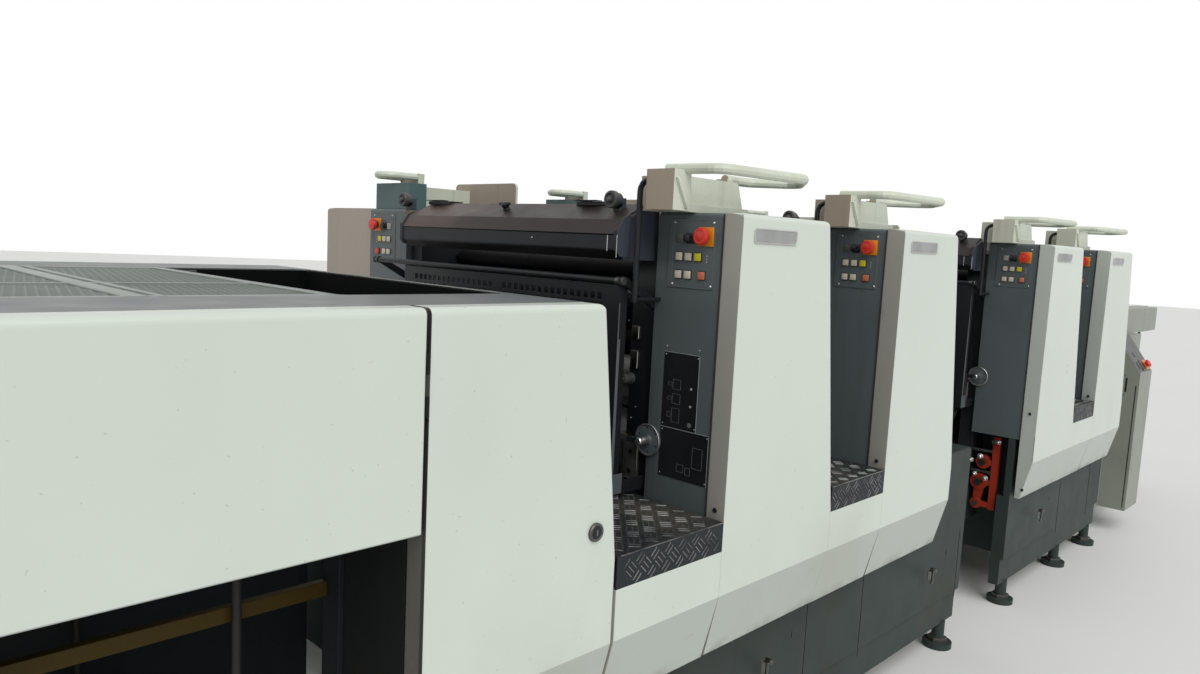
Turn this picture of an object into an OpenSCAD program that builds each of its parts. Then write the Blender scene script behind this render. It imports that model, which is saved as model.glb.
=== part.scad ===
// Four-colour sheet-fed offset printing press, standing in two sections with a gap between them.
// Millimetres. X runs from the delivery (-X) to the feeder (+X), the operator's side is -Y, Z is up.
// The origin is on the floor, in the middle of the press's box.

/* [Layout] */
// Distance from one printing unit to the next
unit_pitch = 910; // [890:5:960]
// Extra distance between the two sections, where the press stands apart
section_gap = 600; // [500:10:900]
// Length of the delivery along its top
delivery_len = 2130; // [2000:10:2600]
// Clear length between the delivery and the nearest unit's cover, at the top
delivery_step = 486; // [460:2:560]
// Length of the feeder
feeder_len = 1800; // [1700:10:2200]
// Clear length between the last unit's cover and the feeder
feeder_step = 92; // [60:4:160]
// Width over the side covers
press_w = 2160; // [2120:10:2300]

/* [Side covers] */
// Height of the side covers
cover_h = 1755; // [1720:5:1850]
// Width of a side cover at its top
cover_top_w = 425; // [380:5:450]
// Width of a side cover at its foot
cover_w = 562; // [550:2:590]
// Height at which a cover starts to narrow
cover_wide_z = 870; // [860:5:1000]
// Depth of the operator's side cover
cover_d = 70; // [60:1:90]
// Depth of the drive side cover
drive_cover_d = 328; // [300:4:380]
// How far a cover leans in below its crease
cover_taper = 46; // [20:2:54]
// Height of the crease in the covers
crease_z = 740; // [700:5:780]
// Height of the covers' lower edge
cover_low_z = 555; // [520:5:600]
// Radius of a cover's corners
cover_round = 14; // [6:1:18]

/* [Housings and frames] */
// Width of the operator's control housing
housing_w = 226; // [210:2:260]
// Width of the drive side's control housing
drive_housing_w = 263; // [240:1:280]
// How far a housing's face lies behind the cover's edge
housing_back = 15; // [10:1:30]
// Height of a housing's lower edge
housing_low_z = 835; // [825:5:860]
// Thickness of a cast side frame
frame_t = 70; // [50:2:80]
// How far a frame's front lies behind the cover's edge
frame_back = 40; // [30:2:60]
// Depth of the side frames' top below the covers' top
frame_drop = 55; // [30:5:100]
// Height of the plate that carries the push buttons
plate_h = 188; // [180:1:190]
// Width of that plate
plate_w = 158; // [150:1:170]
// Depth of that plate's top below the covers' top
plate_drop = 17; // [12:1:24]
// Radius of the setting disc on the operator's frame
disc_r = 44; // [40:1:60]
// Height of the setting disc
disc_z = 1110; // [1080:5:1140]

/* [Cylinders] */
// Radius of the plate and blanket cylinders
small_r = 112; // [105:1:115]
// Radius of the impression and transfer cylinders
big_r = 223; // [210:1:224]
// Height of the impression cylinder's axis
impression_z = 720; // [710:2:740]
// Radius of an inking roller
roller_r = 36; // [28:1:38]
// Radius of a cylinder's shaft
shaft_r = 38; // [25:1:45]

/* [Ink duct] */
// Depth of the ink duct's lower edge below the covers' top
duct_drop = 137; // [125:2:155]
// Height of the ink duct's dark front
duct_front_h = 66; // [60:2:84]
// Height of the ridge between the folds of the lid, over the front
duct_ridge_h = 40; // [30:1:44]
// Height of the lid's back edge over the front
duct_rise = 88; // [70:2:90]
// Reach of the ink duct in front of the cover's edge
duct_reach = 128; // [100:2:140]
// Distance from the ink duct's end to the drive side's frame
duct_end_gap = 119; // [100:1:140]
// Radius of a duct's end knob
knob_r = 22; // [18:1:28]

/* [Plate guard] */
// Depth of the rail over the plate guard below the covers' top
rail_drop = 194; // [180:1:210]
// Radius of the rail
rail_r = 9; // [7:0.5:11]
// Reach of the plate guard in front of the cover's edge
guard_reach = 116; // [90:2:120]
// Thickness of the guard's sheet
sheet_t = 3; // [2:0.5:4]
// Side of a square hole in the guard
guard_hole = 18; // [12:1:20]
// Distance from one hole to the next
guard_pitch = 28; // [26:1:30]
// Columns of holes in each of the two groups
guard_cols = 16; // [8:1:18]
// Rows of holes
guard_rows = 5; // [3:1:6]

/* [Rails] */
// Radius of a handrail's tube
handrail_r = 14; // [10:1:16]
// Height of a handrail's axis above the covers' top
handrail_rise = 109; // [95:2:125]
// Length of a handrail past the unit's edge
handrail_len = 454; // [440:2:480]
// Length of the housing under a handrail
rail_box_len = 262; // [240:2:280]
// Height of that housing
rail_box_h = 95; // [85:1:100]
// Radius of a grab rail's tube
grab_r = 8; // [7:0.5:12]
// Height of the drive side rail's axis above the covers' top
drive_rail_rise = 129; // [124:1:140]
// Height of the box under the drive side rail
drive_box_h = 100; // [80:2:104]
// Height of the guard behind the drive side rail
drive_guard_h = 125; // [100:5:140]

/* [Push buttons] */
// Radius of a stop button's red cap
stop_r = 20; // [16:1:22]
// Side of a square push button
button_w = 24; // [18:1:26]
// Distance from one push button to the next
button_pitch = 32; // [29:1:34]
// Distance from the upper row of buttons to the lower
button_row_pitch = 48; // [40:1:52]

/* [Footboards] */
// Height of the footboards
foot_z = 945; // [930:5:960]
// Height of a footboard's riser
riser_h = 80; // [60:5:90]
// Thickness of a footboard's chequered plate
plate_t = 6; // [4:1:8]

/* [Delivery] */
// Height of the delivery's deck
deck_z = 1530; // [1500:5:1600]
// How far the delivery's drive side lies outside the frame
delivery_out = 71; // [66:1:100]
// Thickness of the delivery's side panels and door
panel_t = 60; // [50:2:80]
// Width of the deck beside the mesh
deck_strip = 250; // [220:5:280]
// Thickness of the deck
deck_t = 40; // [30:2:50]
// Height of the lower edge of the side panel over the pile
side_panel_z = 1110; // [1050:5:1200]
// Length of the cabinet door along its top
door_len = 457; // [420:1:520]
// How far the door is longer at its foot than at its top
door_flare = 70; // [50:2:90]
// Gap between the door and the side panel
door_gap = 10; // [8:1:14]
// Radius of the door hinges' knuckles
knuckle_r = 3.5; // [3:0.1:3.8]
// Radius of the door hinges' pins
hinge_pin_r = 1.8; // [1.4:0.1:2]
// Length of a hinge knuckle
knuckle_len = 40; // [30:2:60]
// Thickness of the cabinet's sheet walls
cabinet_wall = 12; // [6:1:20]

/* [Base] */
// Height of the levelling feet
foot_h = 110; // [80:5:130]
// Radius of a levelling foot
foot_r = 60; // [50:2:80]
// Height of the ledge along the bed
ledge_z = 240; // [200:5:280]
// Height of the bed's top, which carries the frames
bed_z = 550; // [530:5:550]
// How far the bed's sides lie behind the covers
bed_back = 90; // [85:1:110]
// Thickness of the bed's side walls
bed_wall = 60; // [40:2:70]
// Length of the step box at the open end of the first section
step_box_len = 430; // [400:5:440]
// Height of the step box
step_box_h = 320; // [300:5:340]

/* [Feeder] */
// Height of the feeder's side covers
feeder_cover_z = 1235; // [1200:5:1260]
// Height of the beams over the pile
feeder_beam_h = 160; // [130:5:180]
// Depth of the feeder's side covers
feeder_cover_d = 140; // [120:2:150]
// Distance from the feeder's start to its console
console_x = 300; // [260:10:400]
// Length of the console
console_len = 280; // [240:10:320]
// Height of the console's lower front edge
console_low_z = 1024; // [1000:4:1060]
// How far the console's front lies behind the press's side covers
console_back = 5; // [0:1:20]
// Height that the feed board climbs towards the pile
board_rise = 130; // [100:5:200]
// Length of the head over the pile, along the press
head_len = 160; // [120:5:200]
// Width of the suckers' block under the head
suckers_w = 600; // [500:10:800]

/* [Pile tables] */
// Height of the pile tables' top
table_z = 240; // [200:5:260]
// Thickness of a pile table
table_t = 40; // [30:2:60]
// Radius of the rods that carry the pile tables
lift_rod_r = 9; // [6:1:14]

/* [Hidden] */
$fn = 32;
UNITS = 4;
UNIT_PARTS = ["frames", "control_housings", "side_covers", "ink_duct", "plate_guard"];

total_len = delivery_len + delivery_step + (UNITS - 1) * unit_pitch + section_gap
    + cover_w + feeder_step + feeder_len;
x_left = -total_len / 2;
x_right = total_len / 2;
delivery_x1 = x_left + delivery_len;
door_x0 = delivery_x1 - door_len;
feeder_x0 = x_right - feeder_len;

y_side = press_w / 2;
y_cover_op = -y_side + cover_d;
y_frame_op = y_cover_op + housing_w;
y_cover_dr = y_side - drive_cover_d;
y_frame_dr = y_cover_dr - drive_housing_w;
y_in_op = y_frame_op + frame_t;
y_in_dr = y_frame_dr - frame_t;
y_mid = (y_in_op + y_in_dr) / 2;
y_delivery = y_frame_dr + delivery_out;

frame_top_z = cover_h - frame_drop;
plate_top_z = cover_h - plate_drop;
duct_low_z = cover_h - duct_drop;
rail_z = cover_h - rail_drop;
handrail_z = cover_h + handrail_rise;

// Clearance between parts that must not touch
clear = 0.3;
// Depth to which the pieces of one casting run into each other
lap = 5;
skirt_z = foot_z - riser_h;
board_len = unit_pitch - cover_w;
first_board_len = delivery_step - door_flare - door_gap;

// Left edge of a unit's side covers; unit 1 is next to the feeder
function unit_x(n) = delivery_x1 + delivery_step + (UNITS - n) * unit_pitch
    + (n <= 2 ? section_gap : 0);
// Length of the footboard in front of a unit; none stands in front of unit 2
function board_at(n) = n == UNITS ? first_board_len : n == 2 ? 0 : board_len;

function unit_vector(v) = v / norm(v);
// Points that round the corner p between its neighbours a and b
function corner(a, p, b, r, n) = r == 0 ? [p] :
    let (u = unit_vector(a - p), v = unit_vector(b - p), half = acos(u * v) / 2,
         c = p + unit_vector(u + v) * r / sin(half),
         s = p + u * r / tan(half) - c, e = p + v * r / tan(half) - c)
    [for (i = [0 : n]) c + unit_vector(s * (n - i) + e * i) * r];
// An outline with its corners rounded by the radii given
function rounded(pts, radii, n = 4) = [for (i = [0 : len(pts) - 1])
    each corner(pts[(i + len(pts) - 1) % len(pts)], pts[i], pts[(i + 1) % len(pts)], radii[i], n)];

// An outline in X and Z, drawn from y0 to y1
module slab_xz(pts, y0, y1) {
    translate([0, y1, 0]) rotate([90, 0, 0]) linear_extrude(y1 - y0) polygon(pts);
}

// An outline in Y and Z, drawn from x0 to x1
module slab_yz(pts, x0, x1) {
    translate([x0, 0, 0]) rotate([90, 0, 90]) linear_extrude(x1 - x0) polygon(pts);
}

// A box between two corners
module block(a, b) {
    translate(a) cube(b - a);
}

// A round bar along X, Y or Z from point a, with its length along that axis
module bar(a, axis, length, r) {
    translate(a) rotate(axis == "x" ? [0, 90, 0] : axis == "y" ? [-90, 0, 0] : [0, 0, 0])
        cylinder(h = length, r = r);
}

// A path's points with its inner corners rounded by one radius
function bent_path(pts, bend) = concat([pts[0]],
    [for (i = [1 : len(pts) - 2]) each corner(pts[i - 1], pts[i], pts[i + 1], bend, 4)], [pts[len(pts) - 1]]);

// Direction of a path at its point i
function heading(path, i) = unit_vector(path[min(i + 1, len(path) - 1)] - path[max(i - 1, 0)]);

// A bent tube in the XY plane through the points, with bends of one radius
module bent_tube(pts, r, bend, sides = 10) {
    path = bent_path(pts, bend);
    last = len(path) - 1;
    rings = [for (i = [0 : last]) let (d = heading(path, i)) for (k = [0 : sides - 1])
        [path[i][0] - d[1] * r * cos(k * 360 / sides), path[i][1] + d[0] * r * cos(k * 360 / sides),
         r * sin(k * 360 / sides)]];
    walls = [for (i = [0 : last - 1]) for (k = [0 : sides - 1])
        let (a = i * sides + k, b = i * sides + (k + 1) % sides)
        each [[a, b + sides, b], [a, a + sides, b + sides]]];
    ends = [[for (k = [0 : sides - 1]) k], [for (k = [sides - 1 : -1 : 0]) last * sides + k]];
    polyhedron(rings, concat(walls, ends));
}

// Places its children at a unit
module at_unit(n) {
    translate([unit_x(n), 0, 0]) children();
}

// Outline of a side cover seen from the side
function cover_outline() = rounded(
    [[0, cover_low_z], [cover_w, cover_low_z], [cover_w, cover_wide_z], [cover_top_w, cover_h], [0, cover_h]],
    [4, 4, 60, cover_round, cover_round]);

// Section through a side cover, from its face at y = 0 to its back, seen along the press
function cover_section(depth) = rounded(
    [[0, crease_z], [cover_taper, cover_low_z], [depth, cover_low_z], [depth, cover_h], [0, cover_h]],
    [0, 4, 0, 0, cover_round]);

// Plan of a side cover, whose edge towards the delivery slants back to the housing's face
function cover_plan(depth) =
    [[0, 0], [cover_w, 0], [cover_w, depth], [housing_back, depth], [housing_back, cover_d]];

module side_cover(depth) {
    color("honeydew") intersection() {
        slab_xz(cover_outline(), 0, depth);
        slab_yz(cover_section(depth), 0, cover_w);
        linear_extrude(cover_h) polygon(cover_plan(depth));
    }
}

module side_covers() {
    translate([0, -y_side, 0]) side_cover(cover_d);
    translate([0, y_side, 0]) mirror([0, 1, 0]) difference() {
        side_cover(drive_cover_d);
        // Joint between the cover and its inner strip
        block([-1, drive_cover_d - 80, 0], [8 + housing_back, drive_cover_d - 76, cover_h + 1]);
    }
}

// Outline of a housing beside the frame, kept inside the cover's
function housing_outline() = rounded(
    [[housing_back, housing_low_z], [cover_w - 15, housing_low_z], [cover_w - 15, cover_wide_z],
     [cover_top_w - 15, cover_h], [housing_back, cover_h]],
    [2, 2, 60, 12, 12]);

// Cabinet beside the frame with the raised plate that carries the push buttons
module control_housing(y0, y1, plate_y) {
    color("slategray") slab_xz(housing_outline(), y0, y1);
    color("darkslategray") slab_yz(
        rounded([[plate_y - plate_w / 2, plate_top_z - plate_h],
                 [plate_y + plate_w / 2, plate_top_z - plate_h],
                 [plate_y + plate_w / 2, plate_top_z], [plate_y - plate_w / 2, plate_top_z]],
                [8, 8, 8, 8]), housing_back - plate_out, housing_back + lap);
}

module control_housings() {
    control_housing(y_cover_op, y_frame_op, plate_y_op);
    control_housing(y_frame_dr, y_cover_dr, plate_y_dr);
}

// Middle of the plate on each side, and how far it stands out of the housing
plate_y_op = y_cover_op + housing_w / 2 - 7;
plate_y_dr = y_cover_dr - housing_w / 2 + 7;
plate_out = 2;

// Stop button, selector and two rows of push buttons on a housing's plate; towards is 1 where the stop
// button lies towards -Y, and distances are from the plate's middle and top
module button_panel(plate_y, towards) {
    stop_plate = 44;
    selector = [18, 22];
    upper_row = 102;
    translate([housing_back - plate_out, plate_y, plate_top_z]) {
        color("orange") block([-3, -towards * 30 - stop_plate / 2, -66],
                              [0, -towards * 30 + stop_plate / 2, -22]);
        color("red") translate([-3, -towards * 30, -44]) rotate([0, -90, 0]) stop_button();
        color("black") block([-22, towards * 10 - selector[0] / 2, -63],
                             [0, towards * 10 + selector[0] / 2, -63 + selector[1]]);
        for (row = [0 : 1]) for (col = [0 : 2])
            color(col == 2 ? (row == 0 ? "gold" : "firebrick") : "beige")
                translate([0, towards * (42 - col * button_pitch - (col == 2 ? row * 16 : 0)),
                           -upper_row - row * button_row_pitch])
                    block([-5, -button_w / 2, -button_w / 2], [0, button_w / 2, button_w / 2]);
    }
}

// Mushroom cap on its neck, standing along Z
module stop_button() {
    neck = 14;
    rim = 10;
    dome = 8;
    rotate_extrude() polygon(concat([[0, 0], [stop_r * 0.6, 0], [stop_r * 0.6, neck], [stop_r, neck + 2],
                                     [stop_r, neck + rim]],
        [for (a = [30, 60]) [stop_r * cos(a), neck + rim + dome * sin(a)]], [[0, neck + rim + dome]]));
}

module push_buttons() {
    for (n = [1 : UNITS]) at_unit(n) {
        button_panel(plate_y_op, 1);
        button_panel(plate_y_dr, -1);
    }
}

// Cast side frame: a wide foot, which reaches to the unit before it, and a narrower upper part
function frame_outline(reach) = concat(
    [[-reach, bed_z], [cover_w, bed_z], [cover_w, skirt_z], [cover_w - 40, skirt_z + 60],
     [cover_top_w - 20, frame_top_z], [frame_back, frame_top_z], [frame_back, skirt_z]],
    reach > 0 ? [[-reach, skirt_z]] : []);

module unit_frame(reach, y0) {
    slab_xz(frame_outline(reach), y0, y0 + frame_t);
}

module unit_frames(n) {
    reach = n == 2 ? -frame_back : board_at(n);
    color("dimgray") {
        unit_frame(reach, y_frame_op);
        unit_frame(reach, y_frame_dr - frame_t);
        // Ties between the two frames
        for (p = [[frame_back + 36, frame_top_z - 200], [cover_top_w - 60, frame_top_z - 60]])
            bar([p[0], y_in_op - lap, p[1]], "y", y_in_dr - y_in_op + 2 * lap, 26);
        // Setting disc with its lever beside the operator's frame
        translate([housing_back, y_frame_op - 8, disc_z]) rotate([0, -90, 0]) setting_disc();
    }
}

// Graduated disc with a stub shaft and a lever, standing along Z
module setting_disc() {
    cylinder(h = 6, r = disc_r);
    cylinder(h = 46, r = 11);
    // Lever
    translate([-9, -9, 30]) cube([18, disc_r + 16, 12]);
}

// Cylinder of a radius with its shaft from frame to frame; a gap along its length takes the clamps
module cylinder_with_shaft(x, z, r, gap_angle) {
    translate([x, y_in_op, z]) rotate([-90, 0, 0]) {
        cylinder(h = y_in_dr - y_in_op, r = shaft_r);
        translate([0, 0, 60]) difference() {
            cylinder(h = y_in_dr - y_in_op - 120, r = r, $fn = 64);
            rotate([0, 0, gap_angle]) translate([r - 25, -35, 20])
                cube([30, 70, y_in_dr - y_in_op - 160]);
        }
    }
}

impression_x = 285;
blanket_x = impression_x - 120;
blanket_z = impression_z + sqrt(pow(big_r + small_r + clear, 2) - pow(impression_x - blanket_x, 2));
plate_x = blanket_x + 70;
plate_z = blanket_z + sqrt(pow(2 * small_r + clear, 2) - pow(plate_x - blanket_x, 2));
transfer_z = impression_z - 95;

module printing_cylinders() {
    for (n = [1 : UNITS]) at_unit(n) color("silver") {
        cylinder_with_shaft(impression_x, impression_z, big_r, 200);
        cylinder_with_shaft(blanket_x, blanket_z, small_r, 180);
        cylinder_with_shaft(plate_x, plate_z, small_r, 150);
        if (board_at(n) > 0)
            cylinder_with_shaft(impression_x - unit_pitch / 2, transfer_z, big_r, 90);
    }
}

// Form rollers around the plate cylinder and the rollers that feed them
module inking_rollers() {
    form_d = small_r + roller_r + clear;
    for (n = [1 : UNITS]) at_unit(n) color("dimgray") {
        for (a = [15, 75, 125])
            roller(plate_x + form_d * cos(a), plate_z + form_d * sin(a), roller_r);
        for (p = [[-70, 250], [20, 262], [105, 232], [-25, 335]])
            roller(plate_x + p[0], plate_z + p[1], roller_r);
    }
}

module roller(x, z, r) {
    bar([x, y_in_op, z], "y", y_in_dr - y_in_op, 12);
    bar([x, y_in_op + 50, z], "y", y_in_dr - y_in_op - 100, r);
}

duct_front_z = duct_low_z + duct_front_h;
duct_y0 = y_frame_op + 22;
duct_y1 = y_in_dr - duct_end_gap;
lid_t = 3;
// Profile of the lid from its front edge over the ridge to its back edge
LID = [[-duct_reach, duct_front_z], [-duct_reach + 26, duct_front_z + duct_ridge_h],
       [0, duct_front_z + duct_rise]];
// Outline of the duct's body, with its rounded lower front
function duct_outline() = rounded(
    concat([[frame_back, duct_low_z], [-duct_reach + 30, duct_low_z], [-duct_reach, duct_low_z + 24]],
           LID, [[frame_back, LID[2][1]]]), [0, 16, 12, 0, 0, 0, 0]);
// Outline of an end plate, which stands a little proud of the body's front
function duct_end_outline() = rounded(
    [[-duct_reach + 46, duct_low_z + 8], [-duct_reach + 10, duct_low_z + 8],
     [-duct_reach - 4, duct_low_z + 24],
     [-duct_reach - 4, duct_front_z + 12], [-duct_reach + 20, duct_front_z + duct_ridge_h + 8],
     [-duct_reach + 46, duct_front_z + duct_ridge_h + 18]], [0, 4, 4, 8, 8, 0]);

module ink_duct() {
    color("darkslategray") slab_xz(duct_outline(), duct_y0, duct_y1);
    for (y = [duct_y0 - 3, duct_y1 - 9])
        color("slategray") slab_xz(duct_end_outline(), y, y + 12);
    // Lid of bare steel, lapped over the front
    color("rosybrown") slab_xz(
        concat([for (p = LID) p + [-lid_t, lid_t]], [for (i = [2 : -1 : 0]) LID[i] + [lid_t, -lid_t]]),
        duct_y0 + 14, duct_y1 - 14);
    for (y = [y_frame_op + 107, y_frame_dr - 107]) color("gray") duct_knob(y);
    // Bracket from the duct's back to the drive side's frame
    block([frame_back - 30, duct_y1 - lap, duct_low_z + 20], [frame_back, y_frame_dr - 20, duct_low_z + 60]);
}

// Knob on a bracket beside an end of the duct, facing the delivery
module duct_knob(y) {
    z = LID[2][1] + 10;
    block([-50, y - 12, duct_front_z], [-22, y + 12, z + 8]);
    block([-30, y - 12, duct_low_z + 40], [frame_back, y + 12, duct_front_z + 40]);
    translate([-44, y, z]) rotate([0, -90, 0]) {
        cylinder(h = 20, r = knob_r);
        cylinder(h = 28, r = knob_r * 0.4);
    }
}

guard_y0 = y_frame_op + 14;
guard_y1 = duct_y1 - 10;
guard_top = rail_z - rail_r - 3;
guard_low = foot_z + 14;
guard_fold = 32;

// Front guard over the plate: bent sheet with two groups of square holes under a rail
module plate_guard() {
    x = -guard_reach;
    holes_w = guard_cols * guard_pitch;
    bridge = 40;
    holes_drop = 20;
    color("darkslategray") {
        translate([x, 0, 0]) rotate([90, 0, 90]) linear_extrude(sheet_t) difference() {
            translate([guard_y0, guard_low]) square([guard_y1 - guard_y0, guard_top - guard_low]);
            for (side = [-1, 1]) for (i = [0 : guard_cols - 1]) for (j = [0 : guard_rows - 1])
                translate([(guard_y0 + guard_y1) / 2 + side * (bridge + holes_w) / 2 - holes_w / 2
                               + (i + 0.5) * guard_pitch, guard_top - holes_drop - (j + 0.5) * guard_pitch])
                    square(guard_hole, center = true);
        }
        // Folded edges, and brackets to the frames at the foot
        for (y = [guard_y0, guard_y1 - sheet_t]) {
            block([x, y, guard_low], [x + guard_fold, y + sheet_t, guard_top]);
            block([x, y, guard_low], [frame_back, y + sheet_t, guard_low + 40]);
        }
        block([frame_back - sheet_t, guard_y1 - sheet_t, guard_low],
              [frame_back, y_frame_dr - 10, guard_low + 40]);
    }
    // Rail on its two arms
    arm_t = 10;
    color("gray") {
        bar([x, guard_y0 - 12, rail_z], "y", y_frame_dr - guard_y0 + 10, rail_r);
        for (y = [guard_y0 - 12, y_frame_dr - arm_t - 2])
            slab_xz(rounded([[x - 12, rail_z - 12], [x + 12, rail_z - 12], [frame_back, rail_z - 90],
                             [frame_back, rail_z - 60], [x + 12, rail_z + 12], [x - 12, rail_z + 12]],
                            [6, 0, 0, 0, 0, 6]), y, y + arm_t);
    }
    // Plain guard over the unit's other side
    color("dimgray") slab_xz(
        [[cover_w - 40, skirt_z + 60], [cover_w - 36, skirt_z + 60], [cover_top_w - 16, frame_top_z],
         [cover_top_w - 20, frame_top_z]], y_frame_op, y_frame_dr);
}

// Loop of a handrail in plan, from its bracket to its far end, for the side at +Y
function handrail_path() = [[-60, y_side - 212], [-36, y_side - 50], [handrail_len - 160, y_side - 15],
    [handrail_len, y_side - 130], [handrail_len - 85, y_side - 255], [rail_box_len - 12, y_side - 255]];
rail_strip_h = 22;
bracket_x = -104;

// Housing and handrail on top of a unit's operator side, drawn for the side at +Y
module handrail() {
    y0 = y_side - 320;
    color("darkgray")
        block([-40, y0 + 10, cover_h], [rail_box_len, y_side - 175, cover_h + rail_strip_h]);
    color("beige") {
        slab_xz(rounded([[-40, cover_h + rail_strip_h - lap],
                         [rail_box_len - 12, cover_h + rail_strip_h - lap],
                         [rail_box_len - 40, cover_h + rail_box_h], [-40, cover_h + rail_box_h]],
                        [0, 0, 10, 0]), y0, y_side - 185);
        // Bracket at the delivery's side, and the foot of the tube's other end
        block([bracket_x, y_side - 245, cover_h], [-40 + lap, y_side - 150, handrail_z - 3]);
        block([rail_box_len - 26, y_side - 275, cover_h], [rail_box_len, y_side - 235, handrail_z]);
        translate([0, 0, handrail_z]) bent_tube(handrail_path(), handrail_r, 45);
    }
}

// The drive side's rail: its bracket, the near and far bar of its loop, and the guard behind it
drive_bracket_x = 112;
drive_bracket_t = 28;
drive_loop_y = [y_frame_dr + 91, y_frame_dr + 191];
drive_guard_x = 390;

// Short loop on a bracket with a housing and a guard behind it, on top of a unit's drive side
module drive_rail() {
    z = cover_h + drive_rail_rise;
    start = drive_bracket_x + lap;
    color("beige") {
        translate([0, 0, z])
            bent_tube([[start, drive_loop_y[0]], [-20, drive_loop_y[0]], [-20, drive_loop_y[1]],
                       [start, drive_loop_y[1]]], handrail_r, 45);
        block([drive_bracket_x, drive_loop_y[0] - handrail_r, cover_h],
              [drive_bracket_x + drive_bracket_t, drive_loop_y[1] + handrail_r, z + handrail_r]);
        block([drive_bracket_x + drive_bracket_t - lap, drive_loop_y[0] + 20, cover_h],
              [drive_guard_x + lap, drive_loop_y[1], cover_h + rail_box_h]);
        slab_yz(rounded([[y_frame_dr - 190, cover_h + 2], [drive_loop_y[1] + 20, cover_h + 2],
                         [drive_loop_y[1] + 20, cover_h + drive_guard_h],
                         [y_frame_dr - 190, cover_h + drive_guard_h]],
                        [4, 4, 18, 18]), drive_guard_x, drive_guard_x + 10);
    }
}

module handrails() {
    for (n = [1 : UNITS]) at_unit(n) {
        mirror([0, 1, 0]) handrail();
        drive_rail();
    }
}

// Box on the drive side's control housing, under the loop of the rail
module drive_side_boxes() {
    for (n = [1 : UNITS]) at_unit(n) color("cadetblue")
        block([housing_back + 13, y_frame_dr + 6, cover_h],
              [drive_bracket_x - 8, y_cover_dr - 17, cover_h + drive_box_h]);
}

// Upright grab rail beside the ink duct, bent over to the handrail's bracket
module grab_rail() {
    x = bracket_x + 16;
    y = -y_frame_op + 16;
    top = handrail_z - 30;
    foot = rail_z - 56;
    // The tube lies in a plane across the press
    translate([x, 0, 0]) rotate([90, 0, 90])
        bent_tube([[y, foot], [y, top], [y_side - 245, top]], grab_r, 30);
    bar([x, y, foot + 7], "x", housing_back - x, 6);
}

module grab_rails() {
    for (n = [1 : UNITS]) at_unit(n) color("black") mirror([0, 1, 0]) grab_rail();
}

// Footboard across the press: a plate with a riser at each side and a leg on each frame
module footboard(length) {
    block([-length, -y_side, foot_z - plate_t], [0, y_side, foot_z]);
    for (y = [-y_side, y_side - plate_t, y_frame_op + frame_t / 2, y_frame_dr - frame_t / 2])
        block([-length, y, skirt_z], [0, y + plate_t, foot_z]);
}

module footboards() {
    for (n = [1 : UNITS]) if (board_at(n) > 0)
        at_unit(n) color("black") footboard(board_at(n));
}

// Skirt under a footboard, with the same crease and taper as the covers
module skirt(length) {
    slab_yz([[0, crease_z], [cover_taper, cover_low_z], [cover_d, cover_low_z], [cover_d, skirt_z],
             [0, skirt_z]], -length, 0);
}

module footboard_skirts() {
    for (n = [1 : UNITS]) if (board_at(n) > 0)
        at_unit(n) color("honeydew") {
            translate([0, -y_side, 0]) skirt(board_at(n));
            mirror([0, 1, 0]) translate([0, -y_side, 0]) skirt(board_at(n));
        }
}

// Sheet boxes that end the first section towards the gap
module step_boxes() {
    x0 = unit_x(3) + cover_w;
    y = y_side - bed_back;
    color("slategray") for (side = [-1, 1])
        slab_yz(rounded([[side * y, bed_z], [side * (y - 280), bed_z],
                         [side * (y - 280), bed_z + step_box_h], [side * y, bed_z + step_box_h]],
                        [0, 0, 12, 12]), x0, x0 + step_box_len);
}

// Bed casting: two side walls with a ledge, ties between them and feet under them
module bed(x0, x1, y0, y1, ties, feet) {
    color("darkslategray") {
        for (wall = [[y0, 1], [y1, -1]]) {
            y = wall[0];
            inward = wall[1];
            slab_yz([[y, bed_z], [y, ledge_z], [y + inward * 14, ledge_z], [y + inward * 14, foot_h],
                     [y + inward * bed_wall, foot_h], [y + inward * bed_wall, bed_z]], x0, x1);
        }
        // Rails on which the frames stand
        for (y = [y_frame_op, y_frame_dr - frame_t])
            block([x0, y, tie_top_z - lap], [x1, y + frame_t, bed_z]);
        for (x = ties)
            block([x, y0 + bed_wall - lap, foot_h + 60], [x + 60, y1 - bed_wall + lap, tie_top_z]);
    }
    color("dimgray") for (x = feet) for (y = [y0 + bed_wall / 2, y1 - bed_wall / 2])
        translate([x, y, 0]) {
            cylinder(h = 24, r = foot_r);
            cylinder(h = foot_h + lap, r = 26);
        }
}

y_bed = y_side - bed_back;
tie_top_z = transfer_z - big_r - 15;
bed_a_x0 = delivery_x1 + door_flare + door_gap;
bed_a_x1 = unit_x(3) + cover_w + step_box_len;
bed_b_x0 = unit_x(2) + housing_back;
bed_b_x1 = feeder_x0;

module delivery_section_bed() {
    bed(bed_a_x0, bed_a_x1, -y_bed, y_bed,
        [bed_a_x0 + 20, unit_x(4) - 60, unit_x(3) - 60, bed_a_x1 - 260],
        [bed_a_x0 + 100, unit_x(4) + 200, unit_x(3), bed_a_x1 - 100]);
}

module feeder_section_bed() {
    bed(bed_b_x0, bed_b_x1, -y_bed, y_bed, [bed_b_x0 + 300, unit_x(1) - 60, bed_b_x1 - 90],
        [bed_b_x0 + 100, unit_x(1), bed_b_x1 - 100]);
    color("darkslategray") {
        // Corner post beside the open end
        block([bed_b_x0, -y_bed, bed_z - lap], [bed_b_x0 + 50, -y_bed + 30, housing_low_z]);
        // Wall that carries the linkage
        block([link_wall_x, -y_bed + bed_wall - lap, tie_top_z], [link_wall_x + 12, y_frame_op, bed_z]);
        block([link_wall_x, -y_bed, bed_z - lap], [link_wall_x + 12, y_frame_op, housing_low_z]);
    }
}

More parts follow.
